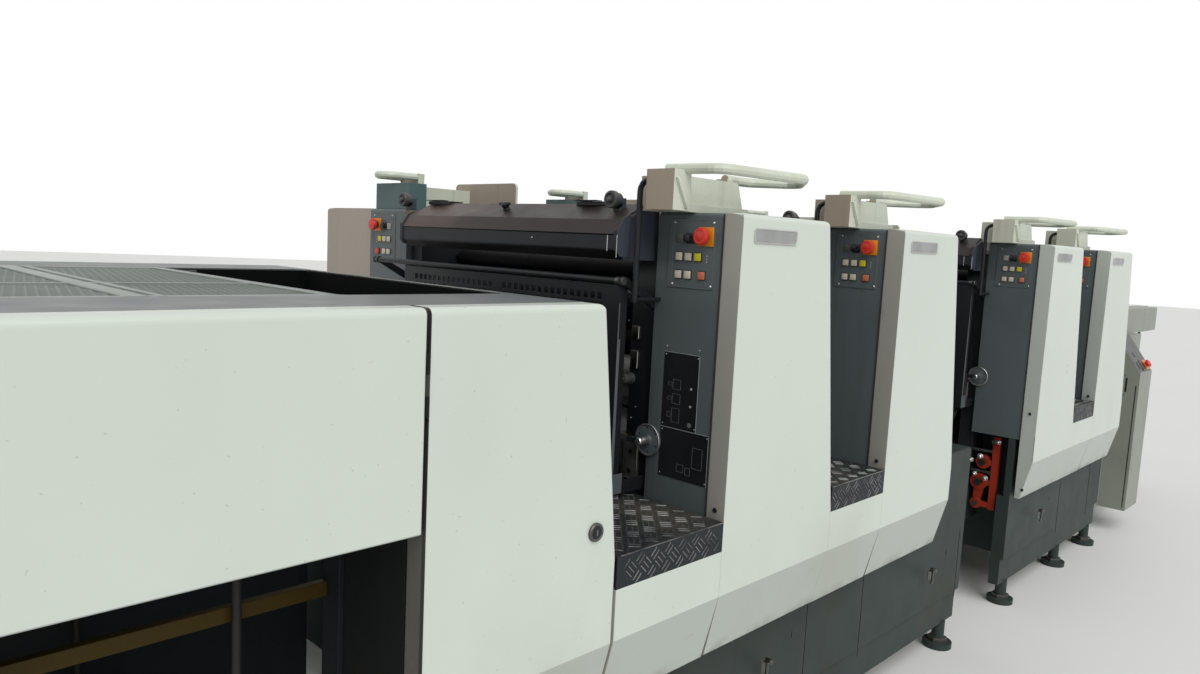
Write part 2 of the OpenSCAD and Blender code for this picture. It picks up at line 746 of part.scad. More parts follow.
link_x = unit_x(2) + frame_back + 14;
link_wall_x = unit_x(2) + frame_back + 140;
link_t = 28;
lever_y = y_frame_op - 115;
// Crank discs: distance from the frame, height, radius
CRANKS = [[58, 690, 34], [46, 590, 40], [40, 480, 26]];

// Levers and cranks of the register linkage in the open end of the second section
module register_linkage() {
    color("orangered") {
        block([link_x - 12, lever_y - 16, 460], [link_x + 12, lever_y + 16, 822]);
        for (c = CRANKS) {
            bar([link_x - link_t / 2, y_frame_op - c[0], c[1]], "x", link_t, c[2]);
            block([link_x - 10, lever_y, c[1] - 13], [link_x + 10, y_frame_op - c[0], c[1] + 13]);
        }
        slab_yz([[y_frame_op - 76, 590], [y_frame_op - 24, 590], [y_frame_op - 24, 480],
                 [y_frame_op - 56, 480]],
                link_x - 8, link_x + 8);
    }
}

// Bright pins before the cranks, the shafts behind them and the rods to the frame
module linkage_shafts() {
    color("silver") {
        for (c = CRANKS) {
            bar([link_x - link_t / 2 - 18, y_frame_op - c[0], c[1]], "x", 18, c[2] * 0.45);
            bar([link_x + link_t / 2, y_frame_op - c[0], c[1]], "x", link_wall_x - link_x - link_t / 2,
                c[2] * 0.6);
        }
        bar([link_x - 12 - 20, lever_y + 6, 800], "x", 20, 11);
        for (z = [745, 640])
            bar([link_x, lever_y + 16, z], "y", y_frame_op - lever_y - 16, 8);
    }
}

// Delivery frames: on the operator's side a beam over the pile, on a post at one end and a plinth at the
// other; a closed wall on the drive side
module delivery_frames() {
    x1 = delivery_x1 + door_flare + door_gap;
    pile_bay = [[x_left + 200, 0], [x_left + 200, side_panel_z + 20], [door_x0, side_panel_z + 20],
                [door_x0, 0]];
    color("dimgray") {
        for (side = [[y_frame_op, pile_bay], [y_frame_dr - frame_t, []]])
            slab_xz(concat([[x_left + 70, 0]], side[1],
                           [[x1, 0], [x1, foot_z], [delivery_x1, deck_z - deck_t],
                            [x_left + 70, deck_z - deck_t]]),
                    side[0], side[0] + frame_t);
        // Spacers that carry the side panels
        for (x = [x_left + 120, door_x0 - 160])
            for (span = [[-y_side + panel_t, y_frame_op + lap], [y_frame_dr - lap, y_delivery - panel_t]])
                block([x, span[0], side_panel_z + 60], [x + 100, span[1], side_panel_z + 160]);
    }
}

// Outline of the door seen from the side, with its flared foot
function door_outline() = rounded(
    [[door_x0 + door_gap, cover_low_z], [delivery_x1 + door_flare, cover_low_z],
     [delivery_x1 + door_flare, foot_z], [delivery_x1, deck_z], [door_x0 + door_gap, deck_z]],
    [4, 4, 60, cover_round, 0]);

module delivery_side_covers() {
    color("honeydew") {
        // Operator's side panel over the pile
        intersection() {
            slab_xz(rounded([[x_left, side_panel_z], [door_x0, side_panel_z], [door_x0, deck_z],
                             [x_left, deck_z]],
                            [4, 4, 4, cover_round]), -y_side, -y_side + panel_t);
            slab_yz(rounded([[-y_side, side_panel_z], [-y_side + panel_t, side_panel_z],
                             [-y_side + panel_t, deck_z], [-y_side, deck_z]], [4, 0, 0, cover_round]),
                    x_left, door_x0);
        }
        // Drive side panel
        intersection() {
            slab_xz(rounded([[x_left, side_panel_z], [door_x0, side_panel_z], [door_x0, cover_low_z],
                             [delivery_x1 + door_flare, cover_low_z], [delivery_x1 + door_flare, foot_z],
                             [delivery_x1, deck_z], [x_left, deck_z]],
                            [4, 4, 4, 4, 60, cover_round, cover_round]), y_delivery - panel_t, y_delivery);
            slab_yz(rounded([[y_delivery, cover_low_z], [y_delivery, deck_z], [y_delivery - panel_t, deck_z],
                             [y_delivery - panel_t, cover_low_z]], [0, cover_round, 0, 0]),
                    x_left, delivery_x1 + door_flare);
        }
    }
}

mesh_x0 = x_left + 250;
mesh_x1 = door_x0 - 20;
mesh_y0 = -y_side + panel_t + deck_strip;
mesh_y1 = y_delivery - panel_t - deck_strip;
well_x1 = delivery_x1 - 26;

// Deck with an opening under the mesh and an open well at its upstream end
module delivery_deck() {
    z0 = deck_z - deck_t;
    color("gray") difference() {
        block([x_left + panel_t, -y_side + panel_t, z0], [delivery_x1 - 4, y_delivery - panel_t, deck_z]);
        block([mesh_x0, mesh_y0, z0 - 1], [mesh_x1, mesh_y1, deck_z + 1]);
        translate([0, 0, z0 - 1]) linear_extrude(deck_t + 2)
            polygon(rounded([[mesh_x1 + 20, mesh_y0], [well_x1, mesh_y0], [well_x1, mesh_y1],
                             [mesh_x1 + 20, mesh_y1]], [20, 20, 20, 20]));
    }
}

// Openings of the guard over the delivery's chains, along and across the press, and the bars between them
mesh_cols = 12;
mesh_rows = 9;
mesh_bar = 20;

// Guard over the delivery's chains: a sheet with a grid of openings
module delivery_mesh_guard() {
    pitch_x = (mesh_x1 - mesh_x0 - mesh_bar) / mesh_cols;
    pitch_y = (mesh_y1 - mesh_y0 - mesh_bar) / mesh_rows;
    color("silver") translate([mesh_x0, mesh_y0, deck_z - 8]) linear_extrude(8) difference() {
        square([mesh_x1 - mesh_x0, mesh_y1 - mesh_y0]);
        for (i = [0 : mesh_cols - 1]) for (j = [0 : mesh_rows - 1])
            translate([i * pitch_x + mesh_bar, j * pitch_y + mesh_bar])
                square([pitch_x - mesh_bar, pitch_y - mesh_bar]);
    }
}

// Hood over the end of the delivery
module delivery_end_cover() {
    color("honeydew") slab_xz(rounded(
        [[x_left, side_panel_z], [x_left + panel_t, side_panel_z], [x_left + panel_t, deck_z],
         [x_left, deck_z]],
        [4, 0, 0, cover_round]), -y_side + panel_t, y_delivery - panel_t);
}

module delivery_pile_table() {
    pile_table(x_left + 240, door_x0 - 40, side_panel_z + 20, y_in_dr - 40);
}

// Guard rails beside the pile, from post to post
module pile_guard_rails() {
    rail_t = 18;
    color("goldenrod") for (y = [y_in_op - rail_t, y_in_dr - rail_t])
        block([x_left + 200, y, side_panel_z - 230], [door_x0, y + rail_t, side_panel_z - 198]);
}

// Cabinet behind the door, open at its front, with its half of the hinges
module electrical_cabinet() {
    color("gray") {
        difference() {
            slab_xz(cabinet_outline(0), y_cabinet, y_frame_op);
            slab_xz(cabinet_outline(cabinet_wall), y_cabinet - 1, y_frame_op - cabinet_wall);
        }
        for (z = HINGES_Z) {
            for (end = [-1, 1]) {
                hinge_knuckle(z + end * (knuckle_len + clear));
                // Leaf in the gap beside the door
                block([hinge_x - 1, -y_side + 2, z + end * (knuckle_len + clear) - knuckle_len / 2],
                      [hinge_x + 1, y_cabinet, z + end * (knuckle_len + clear) + knuckle_len / 2]);
                block([hinge_x - 1, y_cabinet, z + end * (knuckle_len + clear) - knuckle_len / 2],
                      [door_x0 + door_gap + 2, y_cabinet + 12,
                       z + end * (knuckle_len + clear) + knuckle_len / 2]);
            }
            bar([hinge_x, -y_side, z - 1.4 * knuckle_len], "z", 2.8 * knuckle_len, hinge_pin_r);
        }
    }
}

hinge_x = door_x0 + door_gap / 2;
y_cabinet = -y_side + panel_t + 6;
HINGES_Z = [crease_z - 20, deck_z - 140];
lock_z = foot_z + 76;
lock_out = 6;

// Outline of the cabinet, inside the door's outline and under the deck
function cabinet_outline(inset) = rounded(
    [[door_x0 + door_gap + inset, cover_low_z + 5 + inset],
     [delivery_x1 + door_flare - 8 - inset, cover_low_z + 5 + inset],
     [delivery_x1 + door_flare - 8 - inset, foot_z - 10 - inset],
     [delivery_x1 - 12 - inset, deck_z - deck_t - inset],
     [door_x0 + door_gap + inset, deck_z - deck_t - inset]],
    [0, 0, 60, 0, 0]);

// Knuckle around the hinge line, centred on a height
module hinge_knuckle(z) {
    bar([hinge_x, -y_side, z - knuckle_len / 2], "z", knuckle_len, knuckle_r);
}

// Cabinet door, hinged at its edge towards the pile, with a round key lock
module cabinet_door() {
    color("honeydew") difference() {
        union() {
            intersection() {
                slab_xz(door_outline(), -y_side, -y_side + panel_t);
                slab_yz(rounded([[-y_side, crease_z], [-y_side + cover_taper, cover_low_z],
                                 [-y_side + panel_t, cover_low_z], [-y_side + panel_t, deck_z],
                                 [-y_side, deck_z]],
                                [0, 4, 0, 0, cover_round]), door_x0, delivery_x1 + door_flare);
            }
            for (z = HINGES_Z) {
                hinge_knuckle(z);
                block([hinge_x, -y_side, z - knuckle_len / 2],
                      [door_x0 + door_gap + 2, -y_side + 3, z + knuckle_len / 2]);
            }
        }
        for (z = HINGES_Z)
            bar([hinge_x, -y_side, z - knuckle_len], "z", 2 * knuckle_len, hinge_pin_r + clear / 2);
    }
    color("black") bar([delivery_x1 + 1, -y_side - lock_out, lock_z], "y", lock_out + lap, 17);
}

feeder_body_x1 = feeder_x0 + feeder_len / 2;
feeder_beam_z = feeder_cover_z + feeder_beam_h;
feeder_x1 = x_right - 140;

// Feeder frames with the beams that reach over the pile
module feeder_frames() {
    color("gainsboro") for (y = [y_frame_op, y_frame_dr - frame_t])
        slab_xz(rounded([[feeder_x0, 0], [feeder_body_x1, 0], [feeder_body_x1, feeder_cover_z],
                         [feeder_x1, feeder_cover_z], [feeder_x1, feeder_beam_z], [feeder_x0, feeder_beam_z]],
                        [0, 0, 40, 10, 10, 10]), y, y + frame_t);
}

// Covers beside the feeder's frames: a deep lower part and a shallower beam cover over it
module feeder_side_covers() {
    depth = feeder_cover_d;
    for (side = [[y_frame_op, -1], [y_frame_dr, 1]]) {
        y = side[0];
        color("gainsboro") {
            feeder_cover(y, side[1] * depth,
                         [[feeder_x0, 150], [feeder_body_x1, 150], [feeder_body_x1, feeder_cover_z],
                          [feeder_x0, feeder_cover_z]]);
            feeder_cover(y, side[1] * (depth - 60),
                         [[feeder_x0, feeder_cover_z - lap], [feeder_x1 - 100, feeder_cover_z - lap],
                          [feeder_x1 - 100, feeder_beam_z], [feeder_x0, feeder_beam_z]]);
        }
    }
}

module feeder_cover(y, depth, outline) {
    slab_xz(rounded(outline, [4, 10, 10, 4]), min(y, y + depth), max(y, y + depth));
}

// Operator's console on the feeder's side, with a steep sloping panel
module feeder_console() {
    y0 = -y_side + console_back;
    y1 = y_frame_op - feeder_cover_d;
    color("gainsboro") slab_yz(rounded(
        [[y0, 150], [y0, console_low_z], [y1, feeder_cover_z + 10], [y1, 150]], [4, 6, 6, 0]),
        feeder_x0 + console_x, feeder_x0 + console_x + console_len);
}

// Board that carries the sheets down from the pile to the first unit
module feed_board() {
    low_z = foot_z + 25;
    high_z = low_z + board_rise;
    x1 = feeder_body_x1 - 20;
    color("silver") slab_xz([[feeder_x0 + 10, low_z], [x1, high_z], [x1, high_z + 30],
                             [feeder_x0 + 10, low_z + 30]],
                            y_in_op, y_in_dr);
}

// Head over the pile: a traverse between the beams with the suckers' block under it
module suction_head() {
    x = feeder_body_x1 + 60;
    color("gray") {
        block([x, y_in_op, feeder_cover_z + 20], [x + head_len, y_in_dr, feeder_beam_z - 40]);
        block([x + 20, y_mid - suckers_w / 2, feeder_cover_z - 60],
              [x + head_len - 20, y_mid + suckers_w / 2, feeder_cover_z + 20 + lap]);
    }
}

module feeder_pile_table() {
    pile_table(feeder_body_x1 + 30, x_right, feeder_cover_z, y_frame_dr - frame_t / 2);
}

// Table at its lowest place on two cross beams, which hang from four rods; drive_rod_y is the place of the
// rods on the drive side
module pile_table(x0, x1, top, drive_rod_y) {
    beam_h = 80;
    board_z = table_z - table_t;
    color("saddlebrown") block([x0, y_in_op + 20, board_z], [x1, drive_rod_y - 55, table_z]);
    color("dimgray") for (x = [x0 + 60, x1 - 200]) {
        block([x, y_frame_op, board_z - beam_h], [x + 80, drive_rod_y + 30, board_z + lap]);
        for (y = [y_frame_op + frame_t / 2, drive_rod_y])
            bar([x + 40, y, board_z - lap], "z", top - board_z + lap, lift_rod_r);
    }
}

for (n = [1 : UNITS]) {
    at_unit(n) unit_frames(n);
    at_unit(n) control_housings();
    at_unit(n) side_covers();
    at_unit(n) ink_duct();
    at_unit(n) plate_guard();
}
printing_cylinders();
inking_rollers();
handrails();
grab_rails();
push_buttons();
footboards();
footboard_skirts();
step_boxes();
drive_side_boxes();
register_linkage();
linkage_shafts();
delivery_section_bed();
feeder_section_bed();
delivery_frames();
delivery_side_covers();
delivery_deck();
delivery_mesh_guard();
delivery_end_cover();
delivery_pile_table();
pile_guard_rails();
electrical_cabinet();
cabinet_door();
feeder_frames();
feeder_side_covers();
feeder_console();
feed_board();
suction_head();
feeder_pile_table();
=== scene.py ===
"""Four-colour sheet-fed offset press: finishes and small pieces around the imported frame."""
import math

import bmesh
import bpy
from bpy.types import Operator, Panel, PropertyGroup
from mathutils import Matrix, Vector


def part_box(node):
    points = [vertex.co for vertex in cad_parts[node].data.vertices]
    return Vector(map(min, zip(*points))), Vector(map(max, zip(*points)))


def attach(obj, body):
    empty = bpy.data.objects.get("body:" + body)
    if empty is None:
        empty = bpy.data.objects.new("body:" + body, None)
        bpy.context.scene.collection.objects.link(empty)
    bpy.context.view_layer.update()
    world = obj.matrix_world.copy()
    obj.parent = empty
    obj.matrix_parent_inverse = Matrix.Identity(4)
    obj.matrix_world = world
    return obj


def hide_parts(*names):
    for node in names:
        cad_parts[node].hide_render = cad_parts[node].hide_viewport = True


bl_info = {
    "name": "Offset press dressing",
    "version": (1, 0, 0),
    "blender": (4, 5, 0),
    "location": "3D View > Sidebar > Press",
    "description": "Finishes, controls, treads and small fittings for a sheet-fed offset press",
    "category": "Object",
}

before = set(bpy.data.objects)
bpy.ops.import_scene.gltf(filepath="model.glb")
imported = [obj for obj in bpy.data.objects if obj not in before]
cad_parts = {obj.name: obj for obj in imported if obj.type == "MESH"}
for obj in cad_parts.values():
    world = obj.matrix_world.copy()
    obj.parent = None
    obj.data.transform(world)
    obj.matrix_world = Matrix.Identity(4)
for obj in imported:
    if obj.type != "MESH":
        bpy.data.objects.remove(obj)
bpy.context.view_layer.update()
BODY = "press"
DOOR = "cabinet_door"
# Directions: to the delivery, to the operator, up and down
DELIVERY = (-1, 0, 0)
OPERATOR = (0, -1, 0)
UP = (0, 0, 1)
DOWN = (0, 0, -1)
# Edges that turn less are shaded as a curve
CURVE_ANGLE = math.radians(30)


# Places read from the frame

def low(node):
    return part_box(node)[0]


def high(node):
    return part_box(node)[1]


def unit_x(number):
    """Left edge of a unit's side covers."""
    return low(f"unit_{number}_side_covers")[0]


UNIT_EDGES = [(number, unit_x(number)) for number in (1, 2, 3, 4)]
COVER_Y = low("unit_4_side_covers")[1]
COVER_TOP = high("unit_4_side_covers")[2]
FOOT_Z = high("footboards")[2]
# Push buttons' plates: how far behind a unit's edge, their middles and their top
PANEL_X = 0.013
PANEL_Y = (low("unit_4_control_housings")[1] + 0.099, high("unit_4_control_housings")[1] - 0.099)
PANEL_TOP = COVER_TOP - 0.017
# Ink duct: its lower edge and the lid's back edge; the guard's rail; the console's lower front edge
DUCT_LOW = COVER_TOP - 0.137
DUCT_TOP = COVER_TOP + 0.017
RAIL_Z = COVER_TOP - 0.194
CONSOLE_LOW = 1.024
# Bars of the tread plate: their spacing, length and width as shares of a cell, and their height
BAR_STEP = 0.34
BAR_LENGTH = 0.78
BAR_WIDTH = 0.08
BAR_HEIGHT = 0.0016
# Flat bars round the delivery's mesh: width and thickness
MESH_BAR = 0.022
MESH_BAR_T = 0.008
# Profiles of small screw heads: on the panels' and the plates' corners, above the plates, and on the frames
PANEL_SCREW = [(0, 0.0026), (0.0022, 0.0024), (0.0036, 0.001), (0.0038, 0)]
CORNER_SCREW = [(0, 0.0014), (0.0014, 0.0012), (0.002, 0)]
PLATE_SCREW = [(0, 0.002), (0.0014, 0.0018), (0.0022, 0)]
FRAME_SCREW = [(0, 0.002), (0.0016, 0.0018), (0.0024, 0)]
# Upright joints of the base's plates
SEAMS_X = (-1.008, -0.636, 0.2, 1.52, 2.05)
# Middle of the gap beside the cabinet door, where its hinges are; the pile boards' top
HINGE_X = low("cabinet_door")[0] + 0.0035
BOARD_TOP = 0.24


# Shader maths

class Wire:
    """An output socket in a node tree, whose operators add Math nodes."""

    def __init__(self, nodes, socket):
        self.nodes = nodes
        self.socket = socket

    def math(self, operation, *values):
        return self.nodes.node("ShaderNodeMath", {"operation": operation}, dict(enumerate(values)))

    def __add__(self, other):
        return self.math("ADD", self, other)

    def __radd__(self, other):
        return self.math("ADD", other, self)

    def __sub__(self, other):
        return self.math("SUBTRACT", self, other)

    def __rsub__(self, other):
        return self.math("SUBTRACT", other, self)

    def __mul__(self, other):
        return self.math("MULTIPLY", self, other)

    def __rmul__(self, other):
        return self.math("MULTIPLY", other, self)

    def wrap(self, period):
        """Distance from the nearest multiple of a period."""
        return self.math("PINGPONG", self, period / 2)

    def absolute(self):
        return self.math("ABSOLUTE", self)

    def ease(self, start, end):
        """0 below start and 1 above end, smooth between them."""
        return self.nodes.node("ShaderNodeMapRange", {"interpolation_type": "SMOOTHSTEP"},
                               {"Value": self, "From Min": start, "From Max": end})


class Nodes:
    """A node tree that is filled from Python."""

    def __init__(self, tree):
        self.tree = tree

    def plug(self, socket, value):
        """Links a wire to a socket, or sets the socket's own value."""
        if isinstance(value, Wire):
            self.tree.links.new(value.socket, socket)
        elif socket.type == "RGBA":
            socket.default_value = (*value, 1.0)
        else:
            socket.default_value = value

    def node(self, kind, settings=None, values=None, out=0):
        """Adds a node; its settings go first, then its sockets' values or wires."""
        new = self.tree.nodes.new(kind)
        for key, value in (settings or {}).items():
            setattr(new, key, value)
        for key, value in (values or {}).items():
            self.plug(new.inputs[key], value)
        return Wire(self, new.outputs[out])


class Paint(Nodes):
    """One material: its Principled shader, its coordinates and its nodes."""

    def __init__(self, name, roughness=0.5, metallic=0.0, coat=0.0, specular=0.5):
        self.material = bpy.data.materials.new(name)
        self.material.use_nodes = True
        super().__init__(self.material.node_tree)
        self.shader = self.tree.nodes["Principled BSDF"]
        self.set("Roughness", roughness)
        self.set("Metallic", metallic)
        self.set("Coat Weight", coat)
        self.set("Specular IOR Level", specular)
        self.coords = self.node("ShaderNodeTexCoord", out="Object")
        split = {axis: self.node("ShaderNodeSeparateXYZ", {}, {0: self.coords}, out=axis) for axis in "XYZ"}
        self.x = split["X"]
        self.y = split["Y"]
        self.z = split["Z"]

    def set(self, socket, value):
        self.plug(self.shader.inputs[socket], value)

    def noise(self, scale, detail=3.0, stretch=(1, 1, 1)):
        """Noise from 0 to 1; a larger stretch packs it closer along that axis."""
        place = self.node("ShaderNodeMapping", {}, {"Vector": self.coords, "Scale": stretch})
        return self.node("ShaderNodeTexNoise", {}, {"Vector": place, "Scale": scale, "Detail": detail})

    def mix(self, amount, first, second):
        """Colour mix; inputs 6 and 7 are the Mix node's colour sockets."""
        return self.node("ShaderNodeMix", {"data_type": "RGBA", "clamp_factor": True},
                         {0: amount, 6: first, 7: second}, out=2)

    def facing(self, axis):
        """1 where the surface faces along the axis (x, y, z), with its sign."""
        normal = self.node("ShaderNodeNewGeometry", out="True Normal")
        # Turned back with its body, so that a pose leaves the mask where it was
        turn = {"vector_type": "NORMAL", "convert_from": "WORLD", "convert_to": "OBJECT"}
        normal = self.node("ShaderNodeVectorTransform", turn, {"Vector": normal})
        return self.node("ShaderNodeVectorMath", {"operation": "DOT_PRODUCT"}, {0: normal, 1: axis}, out="Value")

    def relief(self, height, strength, distance, edge=0.0):
        """Feeds a bump, and rounded edges of a radius, to the shader's normal."""
        values = {"Strength": strength, "Distance": distance, "Height": height}
        if edge:
            values["Normal"] = self.node("ShaderNodeBevel", {"samples": 4}, {"Radius": edge})
        self.set("Normal", self.node("ShaderNodeBump", {}, values))


def grime(paint, colour, dirt, amount, scale=3.0):
    """Clouded dirt over a colour, in patches and fine specks."""
    patches = paint.noise(scale, 6.0).ease(0.45, 0.75)
    specks = paint.noise(scale * 40, 2.0).ease(0.62, 0.78)
    return paint.mix((patches * 0.6 + specks * 0.4) * amount, colour, dirt)


# Finishes of the press

OLD_INK = (0.035, 0.032, 0.03)


def enamel(name, colour, dirt, roughness=0.38, dirtiness=0.5, edge=0.003, specular=0.4, delivery_side_shade=None):
    """Old machine enamel: clouded, with runs down its faces and rounded edges."""
    paint = Paint(name, specular=specular)
    base = paint.mix(paint.noise(1.3, 4.0).ease(0.3, 0.7), colour, tuple(c * 0.94 for c in colour))
    if delivery_side_shade:
        # Painted shade: faces towards the delivery are mixed to a darker beige, most at that end
        near = 1 - paint.x.ease(-0.4, 0.6) * 0.7
        base = paint.mix(paint.facing(DELIVERY).ease(0.93, 0.98) * near, base, delivery_side_shade)
    base = grime(paint, base, dirt, dirtiness)
    runs = paint.noise(26, 3.0, (1, 1, 0.05)).ease(0.55, 0.8) * (1 - paint.facing(UP).absolute())
    base = paint.mix(runs * 0.35, base, dirt)
    paint.set("Base Color", base)
    paint.set("Roughness", paint.noise(9, 3.0) * 0.18 + (roughness - 0.09))
    paint.relief(paint.noise(320, 2.0), 0.06, 0.0004, edge)
    return paint.material


def cover_enamel(colour, dirt):
    """The covers' pale enamel: dirtier below the crease and along the foot, with dark scuffs; painted shade on faces
    that look down, on faces towards the delivery and in the gap beside the door.
    """
    paint = Paint("cover enamel", coat=0.2)
    base = paint.mix(paint.noise(0.9, 3.0).ease(0.35, 0.7), colour, tuple(c * 0.955 for c in colour))
    low_part = 1 - paint.z.ease(0.5, 1.05)
    # Painted shade on the edges that face the delivery, most at that end; its colour, held in worn, is shade rather
    # than wear, warmer and darker on the drive's side
    near = 1 - paint.x.ease(-0.4, 0.6)
    worn = paint.mix(paint.y.ease(-0.3, 0.3), (0.4, 0.385, 0.34), (0.33, 0.275, 0.22))
    base = paint.mix(paint.facing(DELIVERY).ease(0.6, 0.8) * (near * 0.85 + 0.1), base, worn)
    # Painted shade: faces that look down, below the crease, are darkened
    base = paint.mix(paint.facing(DOWN).ease(0.08, 0.3) * 0.75, base, (0.36, 0.4, 0.355))
    # Painted shade in the gap beside the door, where its hinges are: near black by the covers' face, dark brown on
    # its faces across x
    beside = 1 - (paint.x - HINGE_X).absolute().ease(0.0045, 0.006)
    base = paint.mix(beside * (1 - (paint.y - COVER_Y).absolute().ease(0.01, 0.014)), base, (0.012, 0.012, 0.011))
    beside = beside * paint.facing((1, 0, 0)).absolute().ease(0.7, 0.9)
    base = paint.mix(beside, base, (0.04, 0.036, 0.03))
    smears = paint.noise(3.2, 6.0, (1, 1, 0.6)).ease(0.46, 0.8)
    base = paint.mix(smears * (low_part * 0.32 + 0.06), base, dirt)
    foot = (1 - paint.z.ease(0.545, 0.6)) * paint.noise(14, 5.0).ease(0.35, 0.7)
    base = paint.mix(foot * 0.55, base, (0.1, 0.09, 0.07))
    scuffs = paint.noise(18, 5.0, (0.25, 1, 1)).ease(0.7, 0.74) * paint.noise(2.2, 2.0).ease(0.5, 0.7)
    base = paint.mix(scuffs * (0.25 + low_part * 0.6), base, (0.07, 0.065, 0.055))
    specks = paint.noise(95, 2.0).ease(0.73, 0.77)
    base = paint.mix(specks * 0.45, base, dirt)
    paint.set("Base Color", base)
    paint.set("Roughness", paint.noise(7, 3.0) * 0.16 + 0.26)
    paint.relief(paint.noise(210, 2.0), 0.05, 0.0004, 0.004)
    return paint.material


def steel(name, colour=(0.5, 0.5, 0.49), roughness=0.32, dirt=0.4, axis=(1, 0.03, 1)):
    """Machined steel with fine turning marks and oil."""
    paint = Paint(name, metallic=1.0)
    lines = paint.noise(190, 2.0, axis)
    oil = paint.noise(5, 5.0).ease(0.45, 0.7)
    paint.set("Base Color", paint.mix(oil * dirt, colour, (0.1, 0.08, 0.06)))
    paint.set("Metallic", 1 - oil * 0.35)
    paint.set("Roughness", lines * 0.12 + oil * 0.2 + (roughness - 0.06))
    paint.relief(lines, 0.08, 0.0003, 0.001)
    return paint.material


def rubber(name, colour):
    paint = Paint(name, specular=0.12)
    paint.set("Base Color", grime(paint, colour, (0.02, 0.019, 0.018), 0.5, 6.0))
    paint.set("Roughness", paint.noise(30, 3.0) * 0.2 + 0.5)
    paint.relief(paint.noise(500, 2.0), 0.1, 0.0004)
    return paint.material


def plastic(name, colour, roughness=0.35):
    """Moulded plastic with a faint grain and handling marks."""
    paint = Paint(name)
    marks = paint.noise(60, 4.0).ease(0.5, 0.75)
    paint.set("Base Color", paint.mix(marks * 0.35, colour, tuple(c * 0.55 for c in colour)))
    paint.set("Roughness", paint.noise(120, 2.0) * 0.2 + (roughness - 0.1))
    paint.relief(paint.noise(900, 2.0), 0.05, 0.0002, 0.0008)
    return paint.material


FINISHES = {}


def finish(name):
    """A finish by its name, made once."""
    if name not in FINISHES:
        FINISHES[name] = RECIPES[name]()
    return FINISHES[name]


